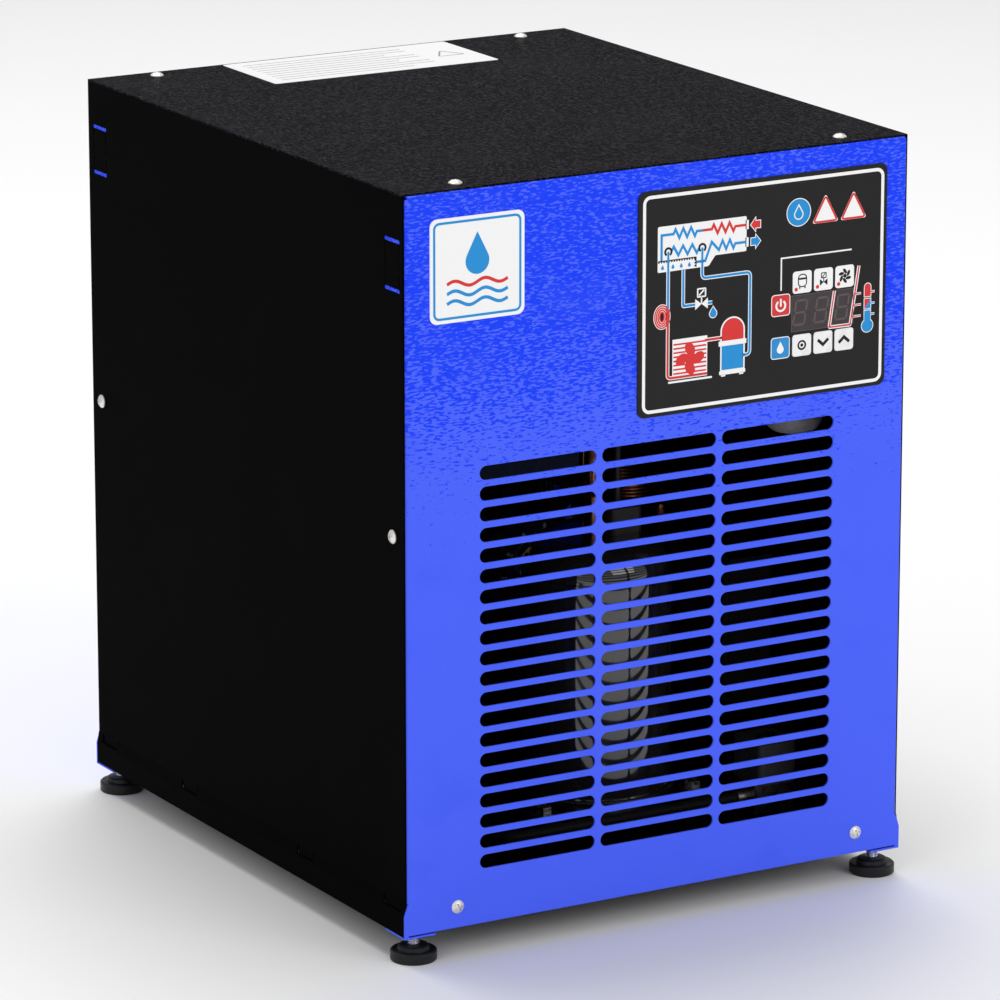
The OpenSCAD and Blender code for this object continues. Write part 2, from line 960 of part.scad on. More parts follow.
module compressor_grommets() {
    color(black)
        in_case()
            for (a = mount_angles)
                translate(comp_at + mount_radius * [cos(a), sin(a), 0] + [0, 0, floor_z])
                    difference() {
                        union() {
                            cylinder(r = 11, h = mount_plate_z - floor_z);
                            cylinder(r = grommet_neck_r, h = mount_plate_z + mount_plate_t - floor_z + 1);
                            translate([0, 0, mount_plate_z + mount_plate_t - floor_z])
                                cylinder(r = 10, h = 3);
                        }
                        translate([0, 0, -1])
                            cylinder(r = bolt_r + running, h = 30);
                    }
}

module terminal_cover() {
    color(charcoal)
        in_case()
            translate([comp_at[0] + cover_offset, comp_at[1] - cover_size[1] / 2, comp_top_z])
                linear_extrude(cover_size[2])
                    rounded_rect(cover_size[0], cover_size[1], cover_corner);
}

module suction_accumulator() {
    color(black)
        in_case()
            translate(accumulator_at)
                rotate_extrude()
                    intersection() {
                        translate([-accumulator_r, 0])
                            rounded_rect(2 * accumulator_r, accumulator_h, 14);
                        square([accumulator_r, accumulator_h]);
                    }
}

// Fin pack: upright fins on a thin web, between two end plates, bored for the tube.
module condenser_fins() {
    web = 0.8;
    color([0.7, 0.71, 0.72])
        in_case()
            difference() {
                translate([fin_x, fin_y, fin_z])
                    linear_extrude(fin_h) {
                        for (x = [0 : fin_pitch : fin_w])
                            translate([min(x, fin_w - fin_t), 0])
                                square([fin_t, fin_d]);
                        translate([0, fin_d / 2 - web / 2])
                            square([fin_w, web]);
                        for (x = [-sheet, fin_w - eps])
                            translate([x, 0])
                                square([sheet + eps, fin_d]);
                    }
                for (k = [0 : coil_passes - 1])
                    translate([fin_x - 5, coil_y, coil_low_z + k * coil_pitch])
                        rotate([0, 90, 0])
                            cylinder(r = coil_r + running, h = fin_w + 10);
            }
}

// The tube runs to and fro, from its upper end on the right to its lower end on the right.
function coil_point(x, k) = [x, coil_y, coil_top_z - k * coil_pitch];
coil_path = [for (k = [0 : coil_passes - 1])
    each k % 2 == 0
        ? [coil_point(k == 0 ? coil_end : coil_right, k), coil_point(coil_left, k)]
        : [coil_point(coil_left, k), coil_point(k == coil_passes - 1 ? coil_end : coil_right, k)]];

module condenser_coil() color(copper) in_case() pipe(coil_path, coil_r, coil_pitch / 2);

module filter_drier() {
    color(copper)
        in_case()
            translate(drier_at) {
                cylinder(r1 = 5, r2 = drier_r, h = 10);
                translate([0, 0, 10])
                    cylinder(r = drier_r, h = drier_l - 22);
                translate([0, 0, drier_l - 12])
                    cylinder(r1 = drier_r, r2 = 3, h = 12);
            }
}

// The capillary winds a few turns before it rises to the exchanger.
module capillary_tube() {
    turn_gap = 1.85 * capillary_r;
    top_z = spiral_at[2] + (spiral_turns - 1) * turn_gap;
    exit_x = spiral_at[0] - spiral_r - 12;
    lead_y = spiral_at[1] - 30;
    lead_z = block_z - 24;
    color(copper)
        in_case() {
            translate(spiral_at)
                rotate_extrude()
                    for (i = [0 : spiral_turns - 1])
                        translate([spiral_r, i * turn_gap])
                            circle(r = capillary_r);
            pipe([drier_at + [0, 0, drier_l], [drier_at[0], drier_at[1], spiral_at[2]],
                [drier_at[0], spiral_at[1], spiral_at[2]], spiral_at + [spiral_r, 0, 0]], capillary_r, 8);
            pipe([[spiral_at[0] - spiral_r, spiral_at[1], top_z], [exit_x, spiral_at[1], top_z],
                [exit_x, spiral_at[1], lead_z], [exit_x, lead_y, lead_z], [capillary_at[0], lead_y, lead_z],
                [capillary_at[0], capillary_at[1], lead_z],
                [capillary_at[0], capillary_at[1], block_z + foam]],
                capillary_r, 8);
        }
}

module discharge_pipe() {
    right_x = 352;
    branch_y = hot_gas_at[1];
    color(copper)
        in_case() {
            pipe([[comp_at[0], comp_at[1], comp_top_z], [comp_at[0], comp_at[1], discharge_z],
                [comp_at[0], branch_y, discharge_z], [right_x, branch_y, discharge_z],
                [right_x, coil_y, discharge_z], [right_x, coil_y, coil_top_z],
                [coil_end, coil_y, coil_top_z]], discharge_r, 6);
            rod([comp_at[0], branch_y - 20, discharge_z], [165, branch_y - 20, discharge_z], liquid_r);
        }
}

module liquid_pipe() {
    color(copper)
        in_case()
            pipe([[coil_end, coil_y, coil_low_z], [drier_at[0], coil_y, coil_low_z],
                [drier_at[0], drier_at[1], coil_low_z], drier_at], liquid_r, 8);
}

module suction_pipe() {
    top = accumulator_at + [0, 0, accumulator_h];
    low_z = accumulator_at[2] - 14;
    core_z = block_z + foam;
    touch = comp_at + [0, shell_r + slack / 4, low_z];
    color(copper)
        in_case() {
            pipe([[suction_at[0], suction_at[1], core_z], [suction_at[0], suction_at[1], suction_z],
                [top[0], suction_at[1], suction_z], [top[0], top[1], suction_z], top],
                suction_r, pipe_bend);
            pipe([accumulator_at, [accumulator_at[0], accumulator_at[1], low_z],
                [comp_at[0], accumulator_at[1], low_z], touch], suction_r, 7);
        }
}

// Bypass valve with its brazed copper tails.
module hot_gas_valve() {
    y = hot_gas_at[1] - 20;
    color(brass)
        in_case() {
            rod([hot_gas_x + hot_gas_body[0] / 2 - 1, y, discharge_z],
                [hot_gas_x + hot_gas_body[0] / 2 + 6, y, discharge_z], liquid_r);
            translate([hot_gas_x, y, discharge_z])
                box(-hot_gas_body / 2, hot_gas_body / 2);
            translate([hot_gas_x, y, discharge_z - hot_gas_drop + hot_gas_head_h - 1])
                cylinder(r = hot_gas_neck_r, h = hot_gas_drop - hot_gas_head_h - hot_gas_body[2] / 2 + 2);
            translate([hot_gas_x, y, discharge_z - hot_gas_drop])
                cylinder(r = hot_gas_head_r, h = hot_gas_head_h);
            pipe([[hot_gas_x - hot_gas_body[0] / 2 + 1, y, discharge_z],
                [hot_gas_at[0], y, discharge_z], [hot_gas_at[0], hot_gas_at[1], discharge_z],
                [hot_gas_at[0], hot_gas_at[1], block_z + foam]], liquid_r, hot_gas_bend);
        }
}

// ---- Fan ----

module fan_shroud() {
    x0 = fan_at[0] - shroud_w / 2;
    x1 = fan_at[0] + shroud_w / 2;
    z1 = fin_z + fin_h;
    color(black)
        in_case()
            difference() {
                union() {
                    box([x0, shroud_y, fin_z], [x1, fin_y - slack, z1]);
                    translate([fan_at[0], collar_y, fan_at[2]])
                        facing_back()
                            cylinder(r = collar_r + sheet, h = shroud_y - collar_y + eps);
                }
                box([x0 + sheet, shroud_y + sheet, fin_z + sheet], [x1 - sheet, fin_y + 1, z1 - sheet]);
                translate([fan_at[0], collar_y - 1, fan_at[2]])
                    facing_back()
                        cylinder(r = collar_r, h = shroud_y - collar_y + 5);
            }
}

module fan_bracket() {
    color(black)
        in_case()
            translate([fan_at[0], bracket_y, fan_at[2]])
                facing_back() {
                    linear_extrude(bracket_t)
                        difference() {
                            union() {
                                circle(r = bracket_hub_r);
                                for (a = [45, 135])
                                    rotate(a)
                                        translate([-arm_reach, -arm_w / 2])
                                            square([2 * arm_reach, arm_w]);
                            }
                            circle(r = 2 * shaft_r);
                        }
                    for (a = [45 : 90 : 315])
                        rotate(a)
                            translate([arm_reach - bracket_t, -arm_w / 2, bracket_t / 2])
                                cube([bracket_t, arm_w, shroud_y - bracket_y - bracket_t / 2]);
                }
}

module fan_motor() {
    color(charcoal)
        in_case()
            translate([fan_at[0], motor_y, fan_at[2]])
                facing_back()
                    difference() {
                        union() {
                            cylinder(r = motor_r, h = motor_l - 8);
                            cylinder(r = motor_r - 8, h = motor_l);
                            for (a = [0 : 30 : 330])
                                rotate(a)
                                    translate([motor_r - 1, -1.2, 4])
                                        cube([4, 2.4, motor_l - 16]);
                        }
                        translate([0, 0, 8])
                            cylinder(r = shaft_r + running, h = motor_l);
                    }
}

module fan_shaft() {
    color(steel)
        in_case()
            translate([fan_at[0], motor_y + 8 + slack, fan_at[2]])
                facing_back()
                    cylinder(r = shaft_r, h = fan_at[1] + hub_l - hub_end - motor_y - 8 - 2 * slack);
}

module fan_blades() {
    chord = 44;
    blade_t = 1.8;
    color(charcoal)
        in_case()
            translate(fan_at)
                facing_back()
                    difference() {
                        union() {
                            cylinder(r = hub_r, h = hub_l);
                            intersection() {
                                for (i = [0 : fan_blade_count - 1])
                                    rotate(i * 360 / fan_blade_count)
                                        translate([hub_r - 2, 0, hub_l / 2])
                                            rotate([blade_pitch, 0, 0])
                                                translate([0, -chord / 2, -blade_t / 2])
                                                    cube([fan_r, chord, blade_t]);
                                cylinder(r = fan_r, h = hub_l);
                            }
                        }
                        translate([0, 0, -1])
                            cylinder(r = shaft_r + running / 2, h = hub_l - hub_end + 1);
                    }
}

// ---- Air circuit ----

// Plate-fin block with its two air tubes and its condensate spigot.
module exchanger_core() {
    low = [block_x + foam + core_gap, block_y + foam + core_gap, block_z + foam];
    high = [block_x + block_w - foam - core_gap, block_y + block_d - foam - core_gap,
        block_z + block_h - foam - core_gap];
    tube_end = case_d - port_stub_l;
    color([0.72, 0.73, 0.75])
        in_case()
            difference() {
                union() {
                    box(low, high);
                    for (x = port_xs)
                        translate([x, high[1] - 1, port_z])
                            facing_back()
                                cylinder(r = tube_r, h = tube_end - high[1] + 1);
                    translate([drain_at[0], drain_at[1], 262])
                        cylinder(r = 3, h = 30);
                }
                for (x = port_xs)
                    translate([x, high[1] - 20, port_z])
                        facing_back()
                            cylinder(r = tube_bore_r, h = tube_end);
            }
}

module line_holes(low, high) {
    for (p = [[suction_at, suction_r], [hot_gas_at, liquid_r], [capillary_at, capillary_r], [drain_at, 3]])
        translate([p[0][0], p[0][1], low])
            cylinder(r = p[1] + 0.6, h = high - low);
}

module insulation_block() {
    difference() {
        box([block_x, block_y, block_z], [block_x + block_w, block_y + block_d, block_z + block_h]);
        box([block_x + foam, block_y + foam, block_z + foam],
            [block_x + block_w - foam, block_y + block_d - foam, block_z + block_h - foam]);
        for (x = port_xs)
            translate([x, block_y + block_d - foam - 1, port_z])
                facing_back()
                    cylinder(r = tube_r + slack, h = foam + 2);
        line_holes(block_z - 1, block_z + foam + 1);
    }
}

module insulation_lower() {
    color([0.05, 0.09, 0.2])
        in_case()
            intersection() {
                insulation_block();
                box([0, 0, block_z - 1], [case_w, case_d, port_z - running]);
            }
}

module insulation_upper() {
    color([0.05, 0.09, 0.2])
        in_case()
            intersection() {
                insulation_block();
                box([0, 0, port_z + running], [case_w, case_d, block_z + block_h + 1]);
            }
}

module exchanger_shelf() {
    right = block_x + block_w + 3;
    back = block_y + block_d;
    color(black)
        in_case()
            difference() {
                union() {
                    box([wall_x, block_y, block_z - sheet], [right, back, block_z]);
                    box([wall_x, block_y, floor_z], [wall_x + sheet, back, block_z]);
                    box([wall_x, back - sheet, floor_z], [right, back, block_z]);
                    box([wall_x, block_y, floor_z], [wall_x + 16, back, floor_z + sheet]);
                }
                line_holes(block_z - 2 * sheet, block_z + 1);
            }
}

// Bulkhead fitting: outer hexagon, stub through the panel, threaded bore and air passage.
module air_port(x) {
    color(brass)
        in_case()
            translate([x, case_d - port_stub_l, port_z])
                facing_back()
                    difference() {
                        union() {
                            cylinder(r = port_stub_r, h = port_stub_l + 1);
                            translate([0, 0, port_stub_l])
                                hex_prism(32, port_proud);
                        }
                        translate([0, 0, port_stub_l + port_proud - port_bore_l])
                            cylinder(r = port_bore_r, h = port_bore_l + 1);
                        translate([0, 0, -1])
                            cylinder(r = tube_bore_r, h = port_stub_l + port_proud);
                    }
}

module air_inlet_port() air_port(port_xs[0]);
module air_outlet_port() air_port(port_xs[1]);

// ---- Condensate drain ----

module drain_valve_body() {
    color(brass)
        in_case()
            translate(valve_at)
                difference() {
                    union() {
                        box(-valve_size / 2, valve_size / 2);
                        rod([-nipple_end, 0, 0], [1 - valve_size[0] / 2, 0, 0], nipple_r);
                        rod([valve_size[0] / 2 - 1, 0, 0], [nipple_end, 0, 0], nipple_r);
                        cylinder(r = guide_r, h = guide_top);
                    }
                    cylinder(r = plunger_r + running, h = guide_top - 3);
                }
}

module drain_valve_coil() {
    color(black)
        in_case()
            translate(valve_at + [0, 0, valve_size[2] / 2 + slack])
                difference() {
                    translate([-drain_coil[0] / 2, -drain_coil[0] / 2, 0])
                        linear_extrude(drain_coil[2])
                            rounded_rect(drain_coil[0], drain_coil[1], drain_coil_corner);
                    translate([0, 0, -1])
                        cylinder(r = guide_r + running, h = drain_coil[2] + 2);
                }
}

module drain_plunger()
    color(steel) in_case() translate(valve_at + [0, 0, 0.02]) cylinder(r = plunger_r, h = plunger_l);

module drain_hose() {
    color(black)
        in_case() {
            pipe([[drain_at[0], drain_at[1], 262], [drain_at[0], drain_at[1], valve_at[2]],
                [drain_at[0], valve_at[1], valve_at[2]], valve_at - [nipple_end, 0, 0]],
                hose_r, pipe_bend);
            pipe([valve_at + [nipple_end, 0, 0], [outlet_at[0], valve_at[1], valve_at[2]],
                outlet_at - [0, outlet_in, 0]], hose_r, pipe_bend);
        }
}

module drain_outlet() {
    color(brass)
        in_case()
            translate(outlet_at - [0, outlet_in, 0])
                facing_back()
                    difference() {
                        union() {
                            cylinder(r = outlet_r, h = outlet_in + 1);
                            translate([0, 0, outlet_in])
                                hex_prism(outlet_hex, outlet_hex_h);
                            translate([0, 0, outlet_in + outlet_hex_h - 1])
                                cylinder(r = outlet_nose_r, h = outlet_nose_h);
                        }
                        translate([0, 0, outlet_in])
                            cylinder(r = drain_bore_r, h = outlet_nose_h + outlet_hex_h + 1);
                    }
}

// ---- Feet and nuts ----

// Rubber foot moulded round the head of its stud.
module foot_pad(x, y) {
    neck = stud_r + running;
    pocket = stud_head_r + running;
    color(black)
        in_case()
            translate([x, y, -ground_gap])
                rotate_extrude()
                    polygon([[0, 0], [pad_r - 0.6, 0], [pad_r, 0.8], [pad_r, pad_h - 0.8],
                        [pad_r - 0.8, pad_h], [10.4, pad_h], [9.9, boss_h - 1.4], [8.6, boss_h - 0.6],
                        [neck, boss_h], [neck, stud_low + stud_head_h + running],
                        [pocket, stud_low + stud_head_h + running], [pocket, stud_low - running],
                        [0, stud_low - running]]);
}

module foot_stud(x, y) {
    color(steel)
        in_case()
            translate([x, y, stud_low - ground_gap])
                difference() {
                    union() {
                        cylinder(r = stud_head_r, h = stud_head_h);
                        cylinder(r = stud_r, h = stud_top - stud_low);
                    }
                    translate([-stud_r - 1, -0.6, stud_top - stud_low - 2])
                        cube([2 * stud_r + 2, 1.2, 3]);
                }
}

module foot_pad_front_left() foot_pad(foot_x, foot_y);
module foot_pad_front_right() foot_pad(case_w - foot_x, foot_y);
module foot_pad_rear_left() foot_pad(foot_x, case_d - foot_y);
module foot_pad_rear_right() foot_pad(case_w - foot_x, case_d - foot_y);
module foot_stud_front_left() foot_stud(foot_x, foot_y);
module foot_stud_front_right() foot_stud(case_w - foot_x, foot_y);
module foot_stud_rear_left() foot_stud(foot_x, case_d - foot_y);
module foot_stud_rear_right() foot_stud(case_w - foot_x, case_d - foot_y);

module hex_nut(across_flats, h, bore)
    difference() {
        hex_prism(across_flats, h);
        translate([0, 0, -1])
            cylinder(r = bore, h = h + 2);
    }

// Foot nuts on the tray's flange, compressor bolts and the air ports' lock nuts.
module hex_fasteners() {
    color(steel)
        in_case() {
            for (x = [foot_x, case_w - foot_x], y = [foot_y, case_d - foot_y])
                translate([x, y, lip_top + running + sheet])
                    hex_nut(13, 6.5, stud_r + running);
            for (a = mount_angles)
                translate(comp_at + mount_radius * [cos(a), sin(a), 0]) {
                    translate([0, 0, floor_z - sheet - 4])
                        hex_prism(10, 4);
                    translate([0, 0, floor_z - sheet - 1])
                        cylinder(r = bolt_r, h = mount_plate_z + mount_plate_t + 8 - floor_z + sheet);
                    translate([0, 0, mount_plate_z + mount_plate_t + 3])
                        hex_prism(10, 4);
                }
            for (x = port_xs)
                translate([x, case_d - 9, port_z])
                    facing_back()
                        hex_nut(34, 9 - sheet - running, port_stub_r + running);
        }
}

base_tray();
front_panel();
rear_panel();
left_side_panel();
right_side_panel();
top_cover();
info_label();
front_badge();
control_overlay();
display_window();
controller_housing();
controller_board();
key_power();
key_drain_test();
key_set();
key_down();
key_up();
compressor_shell();
compressor_foot_plate();
compressor_grommets();
terminal_cover();
suction_accumulator();
run_capacitor();
condenser_fins();
condenser_coil();
fan_shroud();
fan_bracket();
fan_motor();
fan_shaft();
fan_blades();
exchanger_core();
insulation_lower();
insulation_upper();
exchanger_shelf();
air_inlet_port();
air_outlet_port();
filter_drier();
capillary_tube();
discharge_pipe();
liquid_pipe();
suction_pipe();
hot_gas_valve();
drain_valve_body();
drain_valve_coil();
drain_plunger();
drain_hose();
drain_outlet();
power_inlet();
wiring();
junction_box();
foot_pad_front_left();
foot_pad_front_right();
foot_pad_rear_left();
foot_pad_rear_right();
foot_stud_front_left();
foot_stud_front_right();
foot_stud_rear_left();
foot_stud_rear_right();
hex_fasteners();
case_screws();
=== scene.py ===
"""Looks of a refrigerated air dryer: paints, printed control panel, threads, light and camera."""

import json
import math

import bpy
import bmesh
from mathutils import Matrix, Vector


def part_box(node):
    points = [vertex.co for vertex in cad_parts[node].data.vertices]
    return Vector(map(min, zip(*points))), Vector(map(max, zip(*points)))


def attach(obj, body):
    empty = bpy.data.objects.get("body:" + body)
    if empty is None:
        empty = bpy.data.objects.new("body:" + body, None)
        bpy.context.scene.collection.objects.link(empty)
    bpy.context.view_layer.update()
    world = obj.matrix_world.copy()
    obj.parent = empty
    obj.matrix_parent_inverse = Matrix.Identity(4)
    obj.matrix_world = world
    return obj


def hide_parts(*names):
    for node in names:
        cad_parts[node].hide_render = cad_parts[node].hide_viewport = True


MM = 0.001
CAD_SHARP_ANGLE = 28

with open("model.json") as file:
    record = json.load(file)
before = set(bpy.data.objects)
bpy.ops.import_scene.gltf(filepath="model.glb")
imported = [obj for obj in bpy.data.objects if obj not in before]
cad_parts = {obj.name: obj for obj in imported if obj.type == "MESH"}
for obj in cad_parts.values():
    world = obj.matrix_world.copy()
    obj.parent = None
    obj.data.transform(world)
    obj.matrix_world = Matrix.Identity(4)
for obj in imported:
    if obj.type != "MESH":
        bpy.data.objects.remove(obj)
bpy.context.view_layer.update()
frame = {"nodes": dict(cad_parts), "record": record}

# ---------------------------------------------------------------- Materials


class Surface:
    """A node material that is built up in steps: colour, colour variation, bump and rounded edges."""

    def __init__(self, name, colour, roughness, metallic=0.0, coat=0.0, specular=0.5):
        self.material = bpy.data.materials.new(name)
        self.material.use_nodes = True
        self.material.diffuse_color = (*colour, 1)
        self.nodes = self.material.node_tree.nodes
        self.links = self.material.node_tree.links
        self.shader = self.nodes["Principled BSDF"]
        self.shader.inputs["Metallic"].default_value = metallic
        self.shader.inputs["Coat Weight"].default_value = coat
        self.shader.inputs["Specular IOR Level"].default_value = specular
        self.shader.inputs["Coat Roughness"].default_value = 0.15
        self.shader.inputs["Roughness"].default_value = roughness
        self.shader.inputs["Base Color"].default_value = (*colour, 1)
        self.roughness = roughness
        self.colour = self.constant_colour(colour)
        self.place = self.nodes.new("ShaderNodeTexCoord").outputs["Object"]
        self.normal = None

    def constant_colour(self, colour):
        node = self.nodes.new("ShaderNodeRGB")
        node.outputs[0].default_value = (*colour, 1)
        return node.outputs[0]

    def stretched(self, stretch):
        node = self.nodes.new("ShaderNodeMapping")
        node.inputs["Scale"].default_value = stretch
        self.links.new(self.place, node.inputs["Vector"])
        return node.outputs["Vector"]

    def noise(self, size_mm, stretch=(1, 1, 1), detail=3.0, roughness=0.5):
        """Noise whose blotches are about size_mm wide, squeezed by stretch along each axis."""
        node = self.nodes.new("ShaderNodeTexNoise")
        node.inputs["Scale"].default_value = 1 / (size_mm * MM)
        node.inputs["Detail"].default_value = detail
        node.inputs["Roughness"].default_value = roughness
        self.links.new(self.stretched(stretch), node.inputs["Vector"])
        return node.outputs["Fac"]

    def cells(self, size_mm, stretch=(1, 1, 1)):
        """Distance from the middle of cells about size_mm wide."""
        node = self.nodes.new("ShaderNodeTexVoronoi")
        node.feature = "SMOOTH_F1"
        node.inputs["Scale"].default_value = 1 / (size_mm * MM)
        self.links.new(self.stretched(stretch), node.inputs["Vector"])
        return node.outputs["Distance"]

    def ramp(self, value, low, high, start=0.0, end=1.0):
        node = self.nodes.new("ShaderNodeMapRange")
        node.interpolation_type = "SMOOTHSTEP"
        sockets = ("From Min", "From Max", "To Min", "To Max")
        for socket, number in zip(sockets, (low, high, start, end)):
            node.inputs[socket].default_value = number
        self.links.new(value, node.inputs["Value"])
        return node.outputs["Result"]

    def math(self, operation, a, b):
        node = self.nodes.new("ShaderNodeMath")
        node.operation = operation
        for socket, value in zip(node.inputs, (a, b)):
            if isinstance(value, (int, float)):
                socket.default_value = value
            else:
                self.links.new(value, socket)
        return node.outputs[0]

    def axis(self, name):
        node = self.nodes.new("ShaderNodeSeparateXYZ")
        self.links.new(self.place, node.inputs[0])
        return node.outputs[name]

    def tint(self, factor, colour):
        """Mixes another colour in where factor is high."""
        node = self.nodes.new("ShaderNodeMix")
        node.data_type = "RGBA"
        self.links.new(factor, node.inputs["Factor"])
        self.links.new(self.colour, node.inputs["A"])
        self.links.new(self.constant_colour(colour), node.inputs["B"])
        self.colour = node.outputs["Result"]
        return self

    def spread(self, value, amount):
        """Varies the roughness by amount either way."""
        low, high = self.roughness - amount, self.roughness + amount
        self.links.new(self.ramp(value, 0.3, 0.7, low, high), self.shader.inputs["Roughness"])
        return self

    def round_edges(self, radius_mm):
        """Softens edges where light catches them."""
        node = self.nodes.new("ShaderNodeBevel")
        node.samples = 4
        node.inputs["Radius"].default_value = radius_mm * MM
        self.normal = node.outputs["Normal"]
        return self

    def bump(self, height, depth_mm, strength=1.0):
        node = self.nodes.new("ShaderNodeBump")
        node.inputs["Distance"].default_value = depth_mm * MM
        node.inputs["Strength"].default_value = strength
        self.links.new(height, node.inputs["Height"])
        if self.normal:
            self.links.new(self.normal, node.inputs["Normal"])
        self.normal = node.outputs["Normal"]
        return self

    def done(self):
        self.links.new(self.colour, self.shader.inputs["Base Color"])
        if self.normal:
            self.links.new(self.normal, self.shader.inputs["Normal"])
        return self.material


def shade(colour, factor):
    return tuple(c * factor for c in colour)


def blue_powder_coat():
    """Blue paint with orange peel, with darker blotches that grow denser towards the top."""
    s = Surface("blue_powder_coat", (0.078, 0.138, 1.0), 0.45, specular=0.06)
    height = s.ramp(s.axis("Z"), 0.17, 0.47)
    peel = s.noise(2.7, (0.65, 1, 2.2), detail=2.5)
    lifted = s.math("ADD", peel, s.ramp(height, 0.0, 1.0, -0.27, 0.08))
    s.tint(s.ramp(lifted, 0.49, 0.55), (0.012, 0.056, 0.97))
    s.tint(s.ramp(s.noise(45), 0.5, 0.75, 0.0, 0.25), (0.05, 0.10, 0.94))
    s.round_edges(0.5)
    s.bump(peel, 0.12, 0.5)
    s.bump(s.noise(0.5), 0.02, 0.3)
    return s.spread(peel, 0.08).done()


def black_powder_coat():
    s = Surface("black_powder_coat", (0.0012, 0.0012, 0.0013), 0.5, specular=0.005)
    grain = s.noise(1.3, (1, 1.6, 0.7), detail=3)
    s.tint(s.ramp(grain, 0.55, 0.75, 0.0, 0.6), (0.0045, 0.0045, 0.0048))
    s.tint(s.ramp(s.noise(60), 0.45, 0.7, 0.0, 0.3), (0.0025, 0.0025, 0.0027))
    s.round_edges(0.35)
    s.bump(grain, 0.05, 0.6)
    return s.spread(grain, 0.07).done()


def charcoal_wrinkle_coat_and_highlight():
    """Coarse wrinkle paint 2 mm apart, with a painted highlight: the ridges are coloured lighter than
    the dark hollows.
    """
    s = Surface("charcoal_wrinkle_coat_and_highlight", (0.0016, 0.0014, 0.0018), 0.4, specular=0.003)
    wrinkle_and_ridge_highlight = s.noise(1.8, (0.9, 0.5, 1), detail=2.5, roughness=0.55)
    # Painted highlight: the wrinkle ridges get a lighter colour than the hollows.
    s.tint(s.ramp(wrinkle_and_ridge_highlight, 0.43, 0.68), (0.030, 0.028, 0.035))
    s.tint(s.ramp(s.noise(70), 0.45, 0.7, 0.0, 0.2), (0.02, 0.02, 0.024))
    s.round_edges(0.35)
    s.bump(wrinkle_and_ridge_highlight, 0.5, 0.9)
    return s.spread(wrinkle_and_ridge_highlight, 0.1).done()


def interior_paint_and_shade():
    # Near-black paint for the parts inside the case; its darkness is partly painted shade that stands
    # in for the shade inside the closed case.
    s = Surface("interior_paint_and_shade", (0.004, 0.004, 0.0045), 0.38, specular=0.25)
    grain = s.noise(3.0, detail=2)
    s.tint(s.ramp(grain, 0.5, 0.75, 0.0, 0.5), (0.012, 0.012, 0.013))
    s.round_edges(0.5)
    return s.bump(grain, 0.06, 0.4).done()


def compressor_paint():
    """Thick glossy black enamel over a drawn steel shell."""
    s = Surface("compressor_paint", (0.010, 0.010, 0.011), 0.08, coat=1.0)
    s.shader.inputs["Coat Roughness"].default_value = 0.03
    runs = s.noise(14, (1, 1, 0.35), detail=2)
    s.tint(s.ramp(runs, 0.5, 0.7, 0.0, 0.5), (0.02, 0.02, 0.021))
    s.bump(runs, 0.12, 0.2)
    return s.spread(runs, 0.03).done()


def printed_film(name, colour, roughness=0.38):
    """Screen-printed ink on polyester film with a fine velvet texture."""
    s = Surface(name, colour, roughness, specular=0.12)
    grain = s.noise(0.35, detail=2)
    s.tint(s.ramp(grain, 0.5, 0.8, 0.0, 0.25), shade(colour, 0.85))
    s.bump(grain, 0.012, 0.5)
    return s.spread(grain, 0.05).done()


def moulded_plastic(name, colour, roughness=0.45):
    s = Surface(name, colour, roughness, specular=0.25)
    grain = s.cells(0.7)
    s.tint(s.ramp(s.noise(9), 0.45, 0.7, 0.0, 0.4), shade(colour, 0.75))
    s.round_edges(0.35)
    s.bump(grain, 0.03, 0.4)
    return s.spread(s.noise(4), 0.07).done()


def smoked_lens():
    s = Surface("smoked_lens", (0.042, 0.033, 0.036), 0.16, coat=0.2, specular=0.2)
    haze = s.noise(6, (1, 1, 0.5), detail=2)
    s.tint(s.ramp(haze, 0.4, 0.7, 0.0, 0.5), (0.056, 0.044, 0.047))
    return s.bump(haze, 0.01, 0.3).done()


def black_rubber(name="black_rubber", specular=0.3):
    s = Surface(name, (0.006, 0.0062, 0.0065), 0.42, specular=specular)
    bloom = s.noise(7, detail=4)
    s.tint(s.ramp(bloom, 0.45, 0.75, 0.0, 0.6), (0.014, 0.0145, 0.015))
    s.round_edges(0.5)
    s.bump(s.noise(0.4), 0.02, 0.5)
    return s.spread(bloom, 0.1).done()


def closed_cell_foam():
    s = Surface("closed_cell_foam", (0.003, 0.006, 0.018), 0.75, specular=0.1)
    cells = s.cells(1.6)
    s.tint(s.ramp(cells, 0.2, 0.7, 0.0, 0.7), (0.006, 0.011, 0.028))
    s.round_edges(1.2)
    return s.bump(cells, 0.25, 0.6).done()


def zinc_plate(name="zinc_plate", colour=(0.72, 0.71, 0.69), roughness=0.28, metallic=1.0):
    """Bright zinc with fine turning marks and faint dull patches."""
    s = Surface(name, colour, roughness, metallic=metallic)
    dull = s.noise(3.5, detail=4)
    s.tint(s.ramp(dull, 0.45, 0.7, 0.0, 0.6), shade(colour, 0.7))
    s.round_edges(0.25)
    s.bump(s.noise(0.3, (1, 1, 6)), 0.015, 0.5)
    return s.spread(dull, 0.1).done()


def mill_aluminium():
    s = Surface("mill_aluminium", (0.5, 0.51, 0.53), 0.36, metallic=1.0)
    rolled = s.noise(1.0, (0.15, 1, 4), detail=4)
    s.tint(s.ramp(rolled, 0.4, 0.7, 0.0, 0.5), (0.36, 0.37, 0.39))
    s.round_edges(0.3)
    s.bump(rolled, 0.02, 0.5)
    return s.spread(rolled, 0.1).done()


def drawn_copper():
    """Copper tube with darker heat stain in patches."""
    s = Surface("drawn_copper", (0.36, 0.15, 0.075), 0.3, metallic=1.0)
    stain = s.noise(22, detail=4)
    s.tint(s.ramp(stain, 0.45, 0.65, 0.0, 0.8), (0.12, 0.045, 0.025))
    s.bump(s.noise(0.6), 0.015, 0.5)
    return s.spread(stain, 0.12).done()


